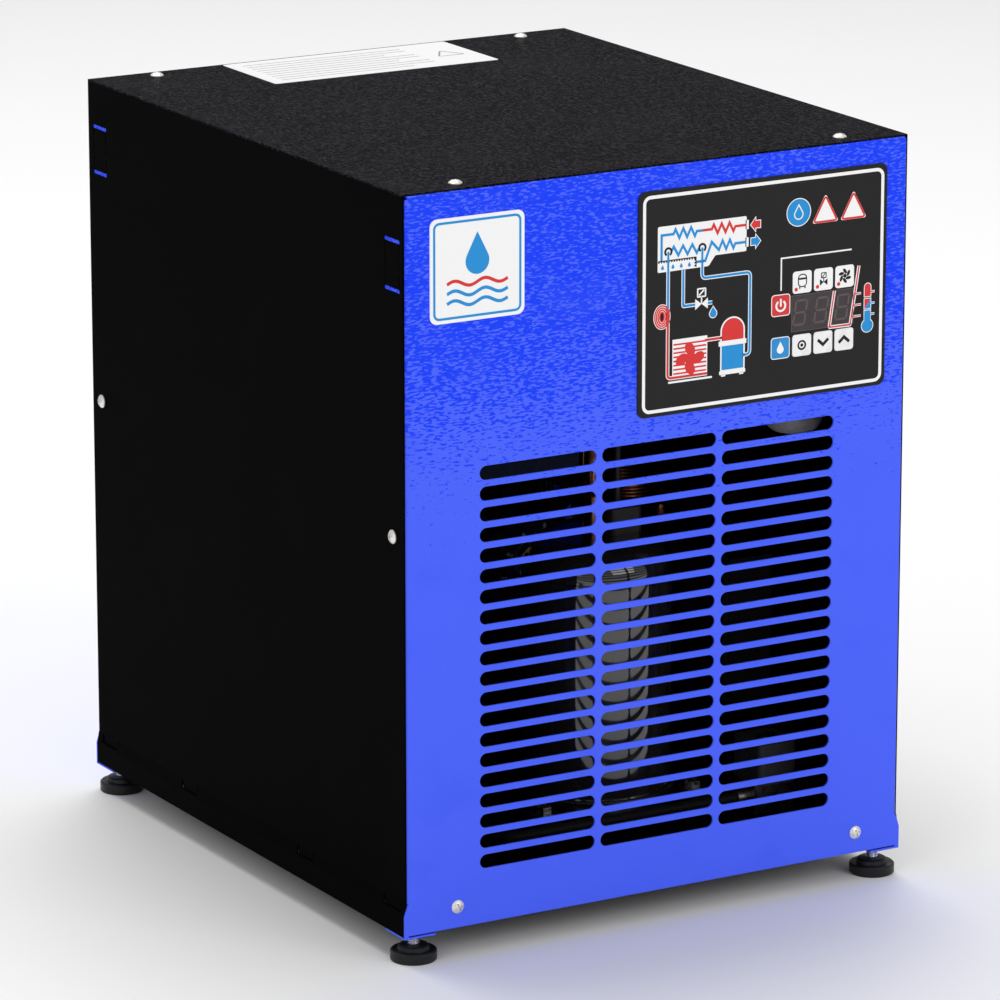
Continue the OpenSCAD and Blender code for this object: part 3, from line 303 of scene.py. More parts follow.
def machined_metal(name, colour):
    """A turned and milled metal with tarnish in patches."""
    s = Surface(name, colour, 0.27, metallic=1.0)
    tarnish = s.noise(12, detail=4)
    s.tint(s.ramp(tarnish, 0.5, 0.7, 0.0, 0.6), shade(colour, 0.58))
    s.round_edges(0.4)
    s.bump(s.noise(0.35, (1, 5, 1)), 0.02, 0.5)
    return s.spread(tarnish, 0.09).done()


def solder_mask():
    s = Surface("solder_mask", (0.01, 0.10, 0.035), 0.3, coat=0.3)
    traces = s.cells(2.4, (1, 1, 1))
    s.tint(s.ramp(traces, 0.35, 0.45, 0.0, 0.5), (0.02, 0.16, 0.05))
    return s.bump(traces, 0.03, 0.3).done()


WHITE_INK = printed_film("white_ink", (0.94, 0.94, 0.94))
RED_INK = printed_film("red_ink", (0.72, 0.045, 0.045))
BLUE_INK = printed_film("blue_ink", (0.026, 0.29, 0.68))
BLACK_INK = printed_film("black_ink", (0.018, 0.017, 0.018))
GREY_INK = printed_film("grey_ink", (0.115, 0.09, 0.095))
PALE_INK = printed_film("pale_ink", (0.25, 0.25, 0.26))

blue = blue_powder_coat()
black = black_powder_coat()
inner_paint_and_shade = interior_paint_and_shade()
rubber = black_rubber()
zinc = zinc_plate()
aluminium = mill_aluminium()
copper = drawn_copper()
brass = machined_metal("machined_brass", (0.62, 0.44, 0.17))
dark_plastic = moulded_plastic("dark_plastic", (0.016, 0.016, 0.018))
white_plastic = moulded_plastic("white_plastic", (0.91, 0.91, 0.91), 0.35)

SLOT_FINISH = {
    "blue_paint": blue,
    "black_paint": black,
    "charcoal_paint": charcoal_wrinkle_coat_and_highlight(),
    "label_film": printed_film("label_film", (0.80, 0.80, 0.80)),
    "overlay_film": printed_film("overlay_film", (0.018, 0.017, 0.018)),
    "display_lens": smoked_lens(),
    "dark_plastic": dark_plastic,
    "circuit_board": solder_mask(),
    "key_red": moulded_plastic("red_plastic", (0.70, 0.04, 0.04), 0.35),
    "key_blue": moulded_plastic("blue_plastic", (0.026, 0.28, 0.66), 0.35),
    "key_white": white_plastic,
    "black_rubber": rubber,
    "foam": closed_cell_foam(),
    "zinc": zinc,
    "bare_aluminium": aluminium,
    "copper_tube": copper,
    "brass": brass,
}
NODE_FINISH = {
    "compressor_shell": compressor_paint(),
    # These inside parts get the near-black interior paint, which is partly painted shade: it stands in
    # for the shade inside the closed case.
    "compressor_foot_plate": inner_paint_and_shade,
    "suction_accumulator": inner_paint_and_shade,
    "exchanger_shelf": inner_paint_and_shade,
    "fan_shroud": inner_paint_and_shade,
    "fan_bracket": inner_paint_and_shade,
    "filter_drier": copper,
    "drain_valve_body": machined_metal("nickelled_brass", (0.20, 0.19, 0.18)),
    "drain_hose": black_rubber("drain_hose_rubber", 0.05),
    "case_screws": zinc_plate("satin_zinc", (0.88, 0.86, 0.84), 0.38, 0.75),
    "run_capacitor": moulded_plastic("capacitor_can", (0.34, 0.33, 0.33), 0.3),
    "front_badge": WHITE_INK,
}


def dress_cad_nodes():
    """Gives every CAD node its finish, and smooth shading over its round faces."""
    slots = {part["node"]: part["material_slot"] for part in frame["record"]["subparts"]}
    for name, node in frame["nodes"].items():
        node.data.materials.clear()
        node.data.materials.append(NODE_FINISH.get(name) or SLOT_FINISH[slots[name]])
        node.data.shade_smooth()
        node.data.set_sharp_from_angle(angle=math.radians(CAD_SHARP_ANGLE))


# ---------------------------------------------------------------- Mesh tools


def link_mesh(name, verts, faces, material, body):
    """Makes a piece from vertices and faces, and puts it on a body."""
    mesh = bpy.data.meshes.new(name)
    mesh.from_pydata([tuple(v) for v in verts], [], faces)
    work = bmesh.new()
    work.from_mesh(mesh)
    bmesh.ops.recalc_face_normals(work, faces=work.faces)
    work.to_mesh(mesh)
    work.free()
    mesh.materials.append(material)
    piece = bpy.data.objects.new(name, mesh)
    bpy.context.scene.collection.objects.link(piece)
    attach(piece, body)
    return piece


def arc(centre, radius, start, end, steps):
    """Points on an arc, with angles in degrees."""
    angles = [math.radians(start + (end - start) * i / steps) for i in range(steps + 1)]
    return [(centre[0] + radius * math.cos(a), centre[1] + radius * math.sin(a)) for a in angles]


def circle(centre, radius, steps=40):
    return arc(centre, radius, 0, 360, steps)[:-1]


def ellipse(centre, half_long, half_short, tilt, steps=24):
    c, s = math.cos(math.radians(tilt)), math.sin(math.radians(tilt))
    return [(centre[0] + half_long * u * c - half_short * v * s,
             centre[1] + half_long * u * s + half_short * v * c)
            for u, v in circle((0, 0), 1, steps)]


def rounded_box(left, low, right, high, radius, steps=6):
    return (arc((right - radius, low + radius), radius, -90, 0, steps)
            + arc((right - radius, high - radius), radius, 0, 90, steps)
            + arc((left + radius, high - radius), radius, 90, 180, steps)
            + arc((left + radius, low + radius), radius, 180, 270, steps))


def rounded_path(path, radius, steps=5, closed=False):
    """The path with each inner corner replaced by a short curve."""
    result = []
    count = len(path)
    for i, corner in enumerate(path):
        if not closed and i in (0, count - 1):
            result.append(corner)
            continue
        corner = Vector(corner)
        before = Vector(path[i - 1]) - corner
        after = Vector(path[(i + 1) % count]) - corner
        reach = min(radius, before.length / 2, after.length / 2)
        start, end = corner + before.normalized() * reach, corner + after.normalized() * reach
        for k in range(steps + 1):
            t = k / steps
            result.append(tuple(start * (1 - t) ** 2 + corner * 2 * t * (1 - t) + end * t ** 2))
    return result


def droplet(centre, half_width, height):
    """A round bottom that narrows to a point above."""
    base = (centre[0], centre[1] - height / 2 + half_width)
    return arc(base, half_width, 155, 385, 16) + [(centre[0], centre[1] + height / 2)]


def path_edges(path, width, closed):
    """The points half a width to the left and to the right of a path, mitred at its corners."""
    left, right = [], []
    count = len(path)
    for i, point in enumerate(path):
        here = Vector(point)
        before = here - Vector(path[i - 1]) if closed or i > 0 else None
        after = Vector(path[(i + 1) % count]) - here if closed or i < count - 1 else None
        before = (before or after).normalized()
        after = (after or before).normalized()
        along = (before + after).normalized()
        normal = Vector((-along.y, along.x))
        reach = width / 2 / max(0.45, along.dot(after))
        left.append(tuple(here + normal * reach))
        right.append(tuple(here - normal * reach))
    return left, right


class Relief:
    """Raised shapes on one flat face. place(u, v, h) turns millimetres on the face into a point."""

    def __init__(self, place):
        self.place = place
        self.verts = []
        self.faces = []

    def ring(self, outline, height):
        start = len(self.verts)
        self.verts += [self.place(u, v, height) for u, v in outline]
        return list(range(start, start + len(outline)))

    def plate(self, outline, low, high):
        bottom, top = self.ring(outline, low), self.ring(outline, high)
        count = len(top)
        self.faces += [top, bottom[::-1]]
        for i in range(count):
            j = (i + 1) % count
            self.faces.append([bottom[i], bottom[j], top[j], top[i]])
        return self

    def band(self, path, width, low, high, closed=False):
        left, right = path_edges(path, width, closed)
        l0, r0 = self.ring(left, low), self.ring(right, low)
        l1, r1 = self.ring(left, high), self.ring(right, high)
        count = len(path)
        for i in range(count if closed else count - 1):
            j = (i + 1) % count
            self.faces += [[l1[i], l1[j], r1[j], r1[i]], [l0[j], l0[i], r0[i], r0[j]],
                           [l0[i], l0[j], l1[j], l1[i]], [r0[j], r0[i], r1[i], r1[j]]]
        if not closed:
            self.faces += [[l0[0], l1[0], r1[0], r0[0]], [l0[-1], r0[-1], r1[-1], l1[-1]]]
        return self

    def build(self, name, material, body, slot):
        return link_mesh(name, self.verts, self.faces, material, body)


# ---------------------------------------------------------------- Printed panel

# The drawing's millimetres run from the case's left and lower edges. This is the film's corner.
FILM_CORNER = (167.1, 316.6)
FILM_SIZE = (187.3, 146.3)
# Ink starts a little inside its face, and each layer stands higher than the last.
BASE = -0.05
LAYERS = [0.05, 0.09, 0.13, 0.17, 0.21]
FILM_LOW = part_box("control_overlay")[0]


def on_film(u, v, h):
    return FILM_LOW + Vector((u - FILM_CORNER[0], -h, v - FILM_CORNER[1])) * MM


def on_key(node):
    """Places millimetres from the middle of a key's front."""
    low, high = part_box(node)
    middle = (low + high) / 2
    return lambda u, v, h: Vector((middle.x + u * MM, low.y - h * MM, middle.z + v * MM))


def zigzag(start, end, v, swing=2.9, turns=6):
    """A resistor-like wave from start to end along u."""
    step = (end - start) / turns
    peaks = [(start + step * (i + 0.5), v + swing * (-1) ** i) for i in range(turns)]
    return [(start, v)] + peaks + [(end, v)]


class Inks:
    """One relief per ink for a group of printed shapes."""

    MATERIALS = {"white": WHITE_INK, "red": RED_INK, "blue": BLUE_INK,
                 "black": BLACK_INK, "grey": GREY_INK, "pale": PALE_INK}

    def __init__(self, group, place, body="case", slot="overlay_film"):
        self.group = group
        self.place = place
        self.body = body
        self.slot = slot
        self.reliefs = {}

    def relief(self, ink):
        return self.reliefs.setdefault(ink, Relief(self.place))

    def plate(self, ink, outline, layer=0):
        self.relief(ink).plate(outline, BASE, LAYERS[layer])

    def line(self, ink, path, width, layer=0, closed=False):
        self.relief(ink).band(path, width, BASE, LAYERS[layer], closed)

    def edged_line(self, ink, path, width, bend=0.0):
        """A coloured line with a white edge on both sides."""
        path = rounded_path(path, bend) if bend else path
        self.line("white", path, width, 1)
        self.line(ink, path, width * 0.6, 2)

    def build(self):
        for ink, relief in self.reliefs.items():
            relief.build(f"{self.group}_{ink}", self.MATERIALS[ink], self.body, self.slot)


def fan_petals(centre, radius, blades, reach=0.56, long=0.44, short=0.26, lean=38):
    """Outlines of a fan symbol's blades."""
    petals = []
    for i in range(blades):
        angle = 360 * i / blades + 90
        middle = (centre[0] + reach * radius * math.cos(math.radians(angle)),
                  centre[1] + reach * radius * math.sin(math.radians(angle)))
        petals.append(ellipse(middle, long * radius, short * radius, angle + lean))
    return petals


def valve_symbol(inks, ink, centre, size, stroke, layer):
    """Two triangles that meet at their points, a stem and a square actuator."""
    u, v = centre
    inks.plate(ink, [(u - size, v - 0.75 * size), (u, v), (u - size, v + 0.75 * size)], layer)
    inks.plate(ink, [(u + size, v + 0.75 * size), (u, v), (u + size, v - 0.75 * size)], layer)
    inks.line(ink, [(u, v), (u, v + 1.0 * size)], stroke, layer)
    actuator = rounded_box(u - 0.62 * size, v + size, u + 0.62 * size, v + 2.1 * size, 0.2)
    inks.line(ink, actuator, stroke, layer, True)
    inks.line(ink, [(u - 0.4 * size, v + 1.2 * size), (u + 0.4 * size, v + 1.9 * size)], stroke, layer)


def air_circuit_symbols():
    """Exchanger block with its waves, separator and droplets."""
    inks = Inks("air_circuit", on_film)
    block = [(181.5, 409.8), (219.4, 410.1), (224.3, 416.6),
             (247.6, 416.7), (247.6, 439.4), (181.5, 439.4)]
    inks.plate("white", rounded_path(block, 1.2, closed=True), 0)
    for low, high in ((419.4, 425.5), (430.8, 436.8)):
        inks.plate("white", rounded_box(246.8, low, 249.2, high, 0.3), 0)
    line = 1.7
    warm, cold = 433.7, 422.6
    cooled_air = [(184.3, 417.1), (184.3, warm)] + zigzag(193.1, 210.4, warm) + [(214.6, warm)]
    warm_air = [(214.6, warm), (221.1, warm)] + zigzag(221.5, 239.2, warm) + [(247.4, warm)]
    inks.line("blue", cooled_air, line, 1)
    inks.line("red", warm_air, line, 1)
    inks.line("blue", zigzag(191.6, 212.2, cold), line, 1)
    rise = [(209.9, 413.8), (216.8, 413.8), (221.6, cold + 2.9)]
    inks.line("blue", rise + zigzag(222.9, 239.2, cold)[2:] + [(247.4, cold)], line, 1)
    for u in (189.3, 214.6):
        inks.line("black", arc((u, cold), 2.35, -60, 240, 20), 1.4, 3)
    inks.line("black", [(181.8, 417.0), (210.0, 417.0), (210.0, 410.6)], 0.7, 1)
    for i in range(15):
        inks.plate("black", rounded_box(181.8 + 1.9 * i, 415.8, 183.0 + 1.9 * i, 417.1, 0.3), 1)
    for i in range(3):
        inks.plate("black", rounded_box(208.8, 411.0 + 1.9 * i, 210.1, 412.2 + 1.9 * i, 0.3), 1)
    for u in (185.1, 192.8, 199.0, 205.0):
        inks.plate("blue", droplet((u, 412.9), 1.1, 3.2), 1)
    for ink, v, way in (("red", 433.3, -1), ("blue", 422.3, 1)):
        middle = 254.5
        arrow = [(-3.4, -2.2), (0.2, -2.2), (0.2, -4.2), (3.6, 0),
                 (0.2, 4.2), (0.2, 2.2), (-3.4, 2.2)]
        outline = [(middle + way * a, v + b) for a, b in arrow]
        inks.line("white", outline, 1.1, 0, True)
        inks.plate(ink, outline, 1)
    inks.build()


def refrigerant_symbols():
    """Pipes, drain valve, capillary coil, condenser and compressor."""
    inks = Inks("refrigerant_circuit", on_film)
    pipe = 2.6
    inks.edged_line("blue", [(189.3, 422.7), (189.3, 384.8)], pipe)
    inks.edged_line("red", [(189.3, 384.8), (189.3, 340.4), (219.0, 340.4)], pipe, 2.5)
    inks.edged_line("blue", [(200.6, 409.8), (200.6, 386.2), (209.9, 386.2)], pipe, 0.8)
    suction = [(214.6, 422.7), (214.6, 402.7), (250.7, 402.7), (250.7, 349.1), (245.0, 349.1)]
    inks.edged_line("blue", suction, pipe, 3)
    inks.edged_line("red", [(217.0, 362.2), (230.2, 362.2)], pipe)
    inks.edged_line("blue", [(218.4, 386.2), (222.4, 386.2)], pipe)
    valve_symbol(inks, "white", (214.3, 386.2), 4.7, 1.0, 3)
    inks.line("white", droplet((223.1, 379.8), 2.7, 7.3), 0.8, 0, True)
    inks.plate("blue", droplet((223.1, 379.8), 2.5, 7.1), 1)
    for i in range(4):
        inks.line("red", ellipse((184.9, 381.0), 7.3 - 1.4 * i, 5.4 - 1.25 * i, 90), 0.95, 3, True)
        inks.line("white", ellipse((184.9, 381.0), 8.0 - 1.4 * i, 6.1 - 1.25 * i, 90), 0.5, 1, True)
    inks.plate("white", rounded_box(192.9, 339.2, 218.9, 365.2, 0.4), 0)
    for i in range(8):
        v = 342.2 + 2.72 * i
        inks.plate("red", rounded_box(193.6, v, 218.2, v + 1.1, 0.2), 1)
    for petal in fan_petals((206.0, 351.6), 10.6, 4, 0.58, 0.46, 0.32, 32):
        inks.plate("red", petal, 2)
    inks.plate("red", circle((206.0, 351.6), 3.9, 20), 3)
    inks.plate("white", rounded_box(189.8, 336.9, 222.6, 338.2, 0.5), 1)
    dome = [(229.2, 359.4), (246.6, 359.4)] + arc((237.9, 366.0), 8.7, 0, 180, 20)
    inks.plate("red", dome, 1)
    inks.line("white", dome, 1.0, 2, True)
    shell = rounded_box(229.2, 340.4, 246.6, 357.4, 0.8)
    inks.plate("blue", shell, 1)
    inks.line("white", shell, 1.0, 2, True)
    inks.plate("white", rounded_box(227.4, 356.6, 248.2, 359.9, 0.5), 3)
    inks.plate("white", rounded_box(228.0, 337.8, 247.6, 340.4, 0.6), 3)
    for u in (231.0, 244.6):
        inks.plate("white", rounded_box(u - 1.6, 336.7, u + 1.6, 338.0, 0.3), 3)
    inks.build()


def sign_symbols():
    """A round sign with a plain droplet and two blank triangular signs."""
    inks = Inks("signs", on_film)
    inks.plate("blue", circle((286.9, 437.5), 9.1), 1)
    inks.line("white", circle((286.9, 437.5), 9.0), 0.55, 2, True)
    inks.line("white", droplet((286.9, 437.7), 3.2, 9.4), 0.75, 2, True)
    for u in (307.25, 328.65):
        corners = [(u - 10.25, 428.7), (u + 10.25, 428.7), (u, 447.6)]
        inks.plate("white", rounded_path(corners, 2.6, closed=True), 0)
        inner_corners = [(u + (a - u) * 0.88, 435.0 + (b - 435.0) * 0.88) for a, b in corners]
        inks.line("red", rounded_path(inner_corners, 2.3, closed=True), 1.3, 2, True)
    inks.build()


def status_symbols():
    """Compressor, drain valve and fan lamps over the display."""
    inks = Inks("status_lamps", on_film)
    for left in (283.0, 299.2, 315.4):
        inks.plate("white", rounded_box(left, 384.4, left + 14.4, 398.9, 2.1), 0)
        inks.plate("red", circle((left + 2.7, 387.1), 1.3, 20), 1)
    u, v = 290.4, 392.2
    inks.line("black", rounded_box(u - 3.1, v - 3.6, u + 3.1, v + 4.4, 2.6), 0.75, 1, True)
    inks.line("black", [(u - 3.4, v + 1.6), (u + 3.4, v + 1.6)], 1.2, 2)
    for side in (-1, 1):
        inks.line("black", [(u + side * 2.0, v - 3.6), (u + side * 2.0, v - 4.9)], 0.9, 1)
    valve_symbol(inks, "black", (306.6, 389.7), 2.9, 0.65, 1)
    for petal in fan_petals((322.8, 392.0), 5.2, 6, reach=0.6, long=0.4, short=0.2):
        inks.plate("black", petal, 1)
    inks.plate("black", circle((322.8, 392.0), 1.3, 16), 2)
    inks.build()


def digit(inks, left, low, width, height, stroke, lean):
    """An unlit seven-segment figure."""
    slope = math.tan(math.radians(lean))

    def tilt(path):
        return [(left + u + (v - height / 2) * slope, low + v) for u, v in path]

    gap = stroke * 0.75
    for v in (stroke / 2, height / 2, height - stroke / 2):
        inks.line("grey", tilt([(gap, v), (width - gap, v)]), stroke, 1)
    for u in (stroke / 2, width - stroke / 2):
        for start in (0, height / 2):
            inks.line("grey", tilt([(u, start + gap), (u, start + height / 2 - gap)]), stroke, 1)


def display_symbols():
    """Figures, the frame of the window and the coloured pointer round the last figure."""
    inks = Inks("display", on_film)
    for left in (283.9, 300.0, 316.0):
        digit(inks, left, 363.1, 10.0, 17.3, 1.5, 9)
    inks.line("grey", rounded_box(282.4, 359.6, 329.4, 383.2, 0.4), 0.5, 2, True)
    pointer = [(314.9, 383.1), (311.2, 359.4), (327.3, 359.2), (333.5, 397.5)]
    inks.line("white", rounded_path(pointer, 0.8), 2.3, 2)
    inks.line("red", rounded_path(pointer, 0.8), 1.0, 3)
    for v in (379.1, 371.7, 364.3):
        start = 327.9 + (v - 359.2) * 0.162
        inks.line("white", [(start, v), (335.4, v)], 1.5, 2)
        inks.line("red", [(start, v), (335.2, v)], 0.7, 3)
    bracket = [(274.2, 387.7), (274.2, 408.8), (327.7, 408.8)]
    inks.line("white", bracket, 1.0, 0)
    inks.build()


def thermometer_symbols():
    inks = Inks("thermometer", on_film)
    u, half = 340.5, 2.35
    top = arc((u, 382.6), half, 0, 180, 12) + [(u - half, 376.4), (u + half, 376.4)]
    middle = [(u - half, 368.4), (u + half, 368.4), (u + half, 374.8), (u - half, 374.8)]
    bulb = arc((u, 357.1), 4.2, 130, 410, 24)
    lower = [(u - half, 367.0), (u - half, 359.8)] + bulb + [(u + half, 359.8), (u + half, 367.0)]
    for outline in (top, middle, lower):
        inks.line("white", outline, 1.0, 0, True)
    inks.plate("red", top, 1)
    inks.plate("red", [middle[0], middle[2], middle[3]], 1)
    inks.plate("blue", middle[:3], 1)
    inks.plate("blue", lower, 1)
    for v, ink in ((379.2, "red"), (371.7, "blue"), (364.5, "blue")):
        inks.line("white", [(u + half, v), (345.9, v)], 1.5, 1)
        inks.line(ink, [(u + half, v), (345.7, v)], 0.7, 2)
    inks.build()


def panel_border():
    inks = Inks("panel_border", on_film)
    left, low = FILM_CORNER
    inset = 4.5
    outline = rounded_box(left + inset, low + inset - 1, left + FILM_SIZE[0] - inset + 1,
                          low + FILM_SIZE[1] - inset + 0.6, 4.4)
    inks.line("white", outline, 2.2, 0, True)
    inks.build()


def key_outline(inks, half=6.9):
    inks.line("white", rounded_box(-half, -half, half, half, 2.0), 0.55, 0, True)


def key_symbols():
    """Symbols that move with their keys."""
    power = Inks("power_key_symbol", on_key("key_power"), "power_key", "key_white")
    key_outline(power)
    power.line("white", arc((0, -0.3), 3.4, 125, 415, 30), 1.35, 1)
    power.line("white", [(0, -0.8), (0, 4.3)], 1.35, 1)
    power.build()

    drain = Inks("drain_key_symbol", on_key("key_drain_test"), "drain_test_key", "key_white")
    key_outline(drain)
    drain.plate("white", droplet((0, 0.3), 2.6, 8.0), 1)
    drain.build()

    confirm = Inks("set_key_symbol", on_key("key_set"), "set_key", "key_white")
    confirm.line("black", circle((0, 0), 2.7, 28), 1.2, 1, True)
    confirm.plate("black", circle((0, 0), 1.1, 16), 1)
    confirm.build()

    for name, way in (("down", -1), ("up", 1)):
        chevron = Inks(f"{name}_key_symbol", on_key(f"key_{name}"), f"{name}_key", "key_white")
        chevron.line("black", [(-4, -1.9 * way), (0, 1.6 * way), (4, -1.9 * way)], 2.0, 1)
        chevron.build()


# ---------------------------------------------------------------- Labels


def badge_symbols():
    """A generic badge: a droplet over three lines of moving air."""
    low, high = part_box("front_badge")

    def place(u, v, h):
        return Vector((low.x + u * MM, low.y - h * MM, low.z + v * MM))

    width = (high.x - low.x) / MM
    height = (high.z - low.z) / MM
    inks = Inks("badge", place, "case", "label_film")
    margin, wave_margin, lowest_wave, wave_pitch, swing, steps = 3, 12, 12, 6.2, 1.8, 32
    inks.line("blue", rounded_box(margin, margin, width - margin, height - margin, 3.5), 1.6, 0, True)
    inks.plate("blue", droplet((width / 2, height * 0.64), 8.5, 27), 1)
    for i in range(3):
        v = lowest_wave + wave_pitch * i
        wave = [(wave_margin + (width - 2 * wave_margin) * k / steps,
                 v + swing * math.sin(k / steps * 4 * math.pi)) for k in range(steps + 1)]
        inks.line("red" if i == 2 else "blue", wave, 2.1, 0)
    inks.build()


def label_lines():
    """Rules and a blank triangle on the label of the top cover."""
    low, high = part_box("info_label")

    def place(u, v, h):
        return Vector((low.x + u * MM, low.y + v * MM, high.z + h * MM))

    inks = Inks("top_label", place, "case", "label_film")
    margin, pitch, long_end, short_end = 10, 7, 132, 112
    for i in range(9):
        end = long_end if i % 3 else short_end
        v = margin + pitch * i
        inks.line("pale", [(margin, v), (end, v)], 0.9, 0)
    triangle = [(143, 30), (163, 30), (153, 47)]
    inks.line("pale", rounded_path(triangle, 2, closed=True), 1.2, 0, True)
    inks.build()


def port_arrows():
    """Flow arrows over the ports at the rear: in and out."""
    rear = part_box("rear_panel")[1].y
    rise, half_width, half_height = 16, 12, 13
    for node, name, ink, way in (("air_inlet_port", "inlet_arrow", "red", -1),
                                 ("air_outlet_port", "outlet_arrow", "blue", 1)):
        low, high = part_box(node)
        middle = (low + high) / 2

        def place(u, v, h):
            return Vector((middle.x + u * MM, rear + h * MM, high.z + (rise + v) * MM))

        arrow = [(-3.5, -9), (3.5, -9), (3.5, 0), (8, 0), (0, 10), (-8, 0), (-3.5, 0)]
        inks = Inks(name, place, "case", "label_film")
        inks.plate("white", rounded_box(-half_width, -half_height, half_width, half_height, 2), 0)
        inks.plate(ink, [(u, way * v) for u, v in arrow], 1)
        inks.build()


# ---------------------------------------------------------------- Turned and threaded pieces


def revolve(profile, centre, segments, wobble=None):
    """Rings round a vertical axis through centre. wobble(angle, r, z) may change a radius."""
    verts, faces = [], []
    for r, z in profile:
        for k in range(segments):
            a = 2 * math.pi * k / segments
            reach = wobble(a, r, z) if wobble else r
            verts.append(Vector((centre.x + reach * math.cos(a), centre.y + reach * math.sin(a), z)))
    for i in range(len(profile) - 1):
        low, high = i * segments, (i + 1) * segments
        for k in range(segments):
            j = (k + 1) % segments
            faces.append([low + k, low + j, high + j, high + k])
    return verts, faces


STUD_RADIUS = 4.0 * MM
STUD_HEAD_HEIGHT = 2.0 * MM
THREAD_PITCH = 1.25 * MM
THREAD_DEPTH = 0.62 * MM
THREAD_SEGMENTS = 36
THREAD_ROWS = 8
THREAD_CREST = 0.12
THREAD_SHARP_ANGLE = 50
STUD_TIP_TAPER = 1.5 * MM
STUD_TIP_CUT = 0.5 * MM
HEAD_CHAMFER = 0.3 * MM
HEAD_CHAMFER_SHARE = 0.95


def threaded_stud(corner):
    """A foot's stud with a real helical thread, with its head inside the rubber."""
    node = f"foot_stud_{corner}"
    low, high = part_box(node)
    centre = (low + high) / 2
    count = int((high.z - low.z - STUD_HEAD_HEIGHT) / THREAD_PITCH * THREAD_ROWS)
    step = (high.z - low.z - STUD_HEAD_HEIGHT) / count
    head = (high.x - low.x) / 2
    base = low.z + STUD_HEAD_HEIGHT
    profile = [(head * HEAD_CHAMFER_SHARE, low.z), (head, low.z + HEAD_CHAMFER), (head, base)]
    profile += [(STUD_RADIUS, base + step * i) for i in range(count + 1)]

    def thread(angle, r, z):
        if z <= base:
            return r
        phase = ((z - base) / THREAD_PITCH - angle / (2 * math.pi)) % 1
        flank = max(0.0, abs(phase - 0.5) * 2 - THREAD_CREST) / (1 - THREAD_CREST)
        taper = min(1.0, (high.z - z) / STUD_TIP_TAPER)
        return r - THREAD_DEPTH * (1 - flank) - STUD_TIP_CUT * (1 - taper)

    verts, faces = revolve(profile, centre, THREAD_SEGMENTS, thread)
    last = len(verts) - THREAD_SEGMENTS
    faces += [list(range(THREAD_SEGMENTS))[::-1], list(range(last, last + THREAD_SEGMENTS))]
    stud = link_mesh(f"threaded_stud_{corner}", verts, faces, zinc, f"foot_{corner}")
    stud.data.shade_smooth()
    stud.data.set_sharp_from_angle(angle=math.radians(THREAD_SHARP_ANGLE))
    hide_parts(node)


BEAD_LEVEL = 14 * MM
BEAD_RADIUS = 1.9 * MM
BEAD_SINK = 1.0 * MM
BEAD_RIPPLE = 0.5 * MM
BEAD_RIPPLES = 45
BEAD_STEPS = 270
BEAD_SIDES = 10
MERGE_DISTANCE = 0.01 * MM


def weld_bead(node, height, name):
    """A rippled weld round a round shell, height above its lowest point."""
    low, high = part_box(node)
    centre = (low + high) / 2
    radius = (high.x - low.x) / 2 - BEAD_SINK
    level = low.z + height
    turns = [2 * math.pi * k / BEAD_SIDES for k in range(BEAD_SIDES + 1)]
    profile = [(radius + BEAD_RADIUS * math.cos(a), level + BEAD_RADIUS * math.sin(a)) for a in turns]

    def ripple(angle, r, z):
        return r - BEAD_RIPPLE * abs(math.sin(angle * BEAD_RIPPLES)) * (r > radius)

    verts, faces = revolve(profile, centre, BEAD_STEPS, ripple)
    bead = link_mesh(name, verts, faces, inner_paint_and_shade, "case")
    work = bmesh.new()
    work.from_mesh(bead.data)
    bmesh.ops.remove_doubles(work, verts=work.verts, dist=MERGE_DISTANCE)
    work.to_mesh(bead.data)
    work.free()
    bead.data.shade_smooth()


# ---------------------------------------------------------------- Stage

CAMERA_AIM = Vector((0.0060, -0.0092, 0.2314))
CAMERA_DISTANCE = 4.079
CAMERA_AZIMUTH = -30.21
CAMERA_ELEVATION = 14.93
CAMERA_LENS = 219.7
CAMERA_SENSOR = 36
CAMERA_REACH = 100

FLOOR_HALF_WIDTH = 14.0
FLOOR_FRONT = -9.0
FLOOR_BACK = 9.0
FLOOR_BEND = 4.0
FLOOR_HEIGHT = 12.0
SKY_STRENGTH = 0.55

# Place in metres, size in metres and power in watts.
SOFTBOXES = {
    "front_softbox": ((1.2, -4.2, 2.4), (3.0, 2.4), 52),
    "left_softbox": ((-4.0, -2.2, 2.4), (2.2, 2.6), 25),
    "top_softbox": ((0.3, 1.6, 4.2), (3.2, 2.6), 120),
}


def aim(thing, target):
    thing.rotation_euler = (target - thing.location).to_track_quat("-Z", "Y").to_euler()


def add_camera():
    data = bpy.data.cameras.new("camera")
    data.lens = CAMERA_LENS
    data.sensor_width = CAMERA_SENSOR
    data.clip_end = CAMERA_REACH
    camera = bpy.data.objects.new("camera", data)
    bpy.context.scene.collection.objects.link(camera)
    turn, lift = math.radians(CAMERA_AZIMUTH), math.radians(CAMERA_ELEVATION)
    flat = math.cos(lift)
    back = Vector((math.sin(turn) * flat, -math.cos(turn) * flat, math.sin(lift)))
    camera.location = CAMERA_AIM + back * CAMERA_DISTANCE
    aim(camera, CAMERA_AIM)
    bpy.context.scene.camera = camera


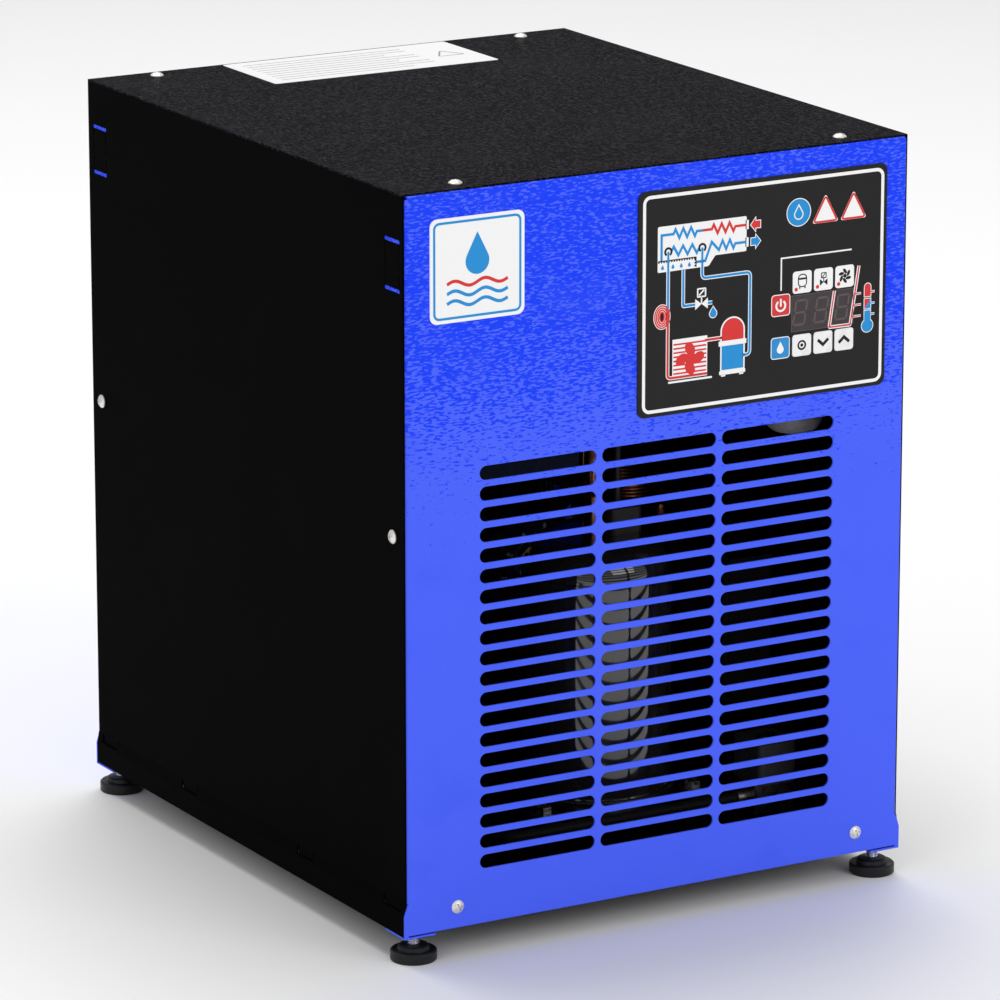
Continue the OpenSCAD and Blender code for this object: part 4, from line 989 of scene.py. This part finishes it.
def add_light(name, place, size, power):
    data = bpy.data.lights.new(name, "AREA")
    data.shape = "RECTANGLE"
    data.size, data.size_y = size
    data.energy = power
    light = bpy.data.objects.new(name, data)
    light.location = place
    bpy.context.scene.collection.objects.link(light)
    aim(light, CAMERA_AIM)


def add_stage():
    """A pale floor that curves up behind, soft boxes and a bright even sky."""
    verts, faces = [], []
    bend_start = FLOOR_BACK - FLOOR_BEND
    section = [(FLOOR_FRONT, 0.0), (bend_start, 0.0)]
    section += [(bend_start + FLOOR_BEND * math.sin(math.radians(a)),
                 FLOOR_BEND - FLOOR_BEND * math.cos(math.radians(a)))
                for a in range(10, 91, 10)]
    section.append((FLOOR_BACK, FLOOR_HEIGHT))
    for y, z in section:
        verts += [(-FLOOR_HALF_WIDTH, y, z), (FLOOR_HALF_WIDTH, y, z)]
    faces = [[2 * i, 2 * i + 1, 2 * i + 3, 2 * i + 2] for i in range(len(section) - 1)]
    mesh = bpy.data.meshes.new("floor")
    mesh.from_pydata(verts, [], faces)
    paper = Surface("floor_paper", (0.9, 0.9, 0.9), 0.7)
    paper.tint(paper.ramp(paper.noise(900), 0.4, 0.7, 0.0, 0.3), (0.88, 0.88, 0.88))
    mesh.materials.append(paper.done())
    floor = bpy.data.objects.new("floor", mesh)
    bpy.context.scene.collection.objects.link(floor)

    for name, (place, size, power) in SOFTBOXES.items():
        add_light(name, place, size, power)

    world = bpy.data.worlds.new("studio")
    world.use_nodes = True
    world.node_tree.nodes["Background"].inputs["Color"].default_value = (1, 1, 1, 1)
    world.node_tree.nodes["Background"].inputs["Strength"].default_value = SKY_STRENGTH
    bpy.context.scene.world = world
    bpy.context.scene.view_settings.view_transform = "Standard"


dress_cad_nodes()
panel_border()
air_circuit_symbols()
refrigerant_symbols()
sign_symbols()
status_symbols()
display_symbols()
thermometer_symbols()
key_symbols()
badge_symbols()
label_lines()
port_arrows()
for corner in ("front_left", "front_right", "rear_left", "rear_right"):
    threaded_stud(corner)
weld_bead("compressor_shell", BEAD_LEVEL, "compressor_weld_bead")
add_stage()
add_camera()
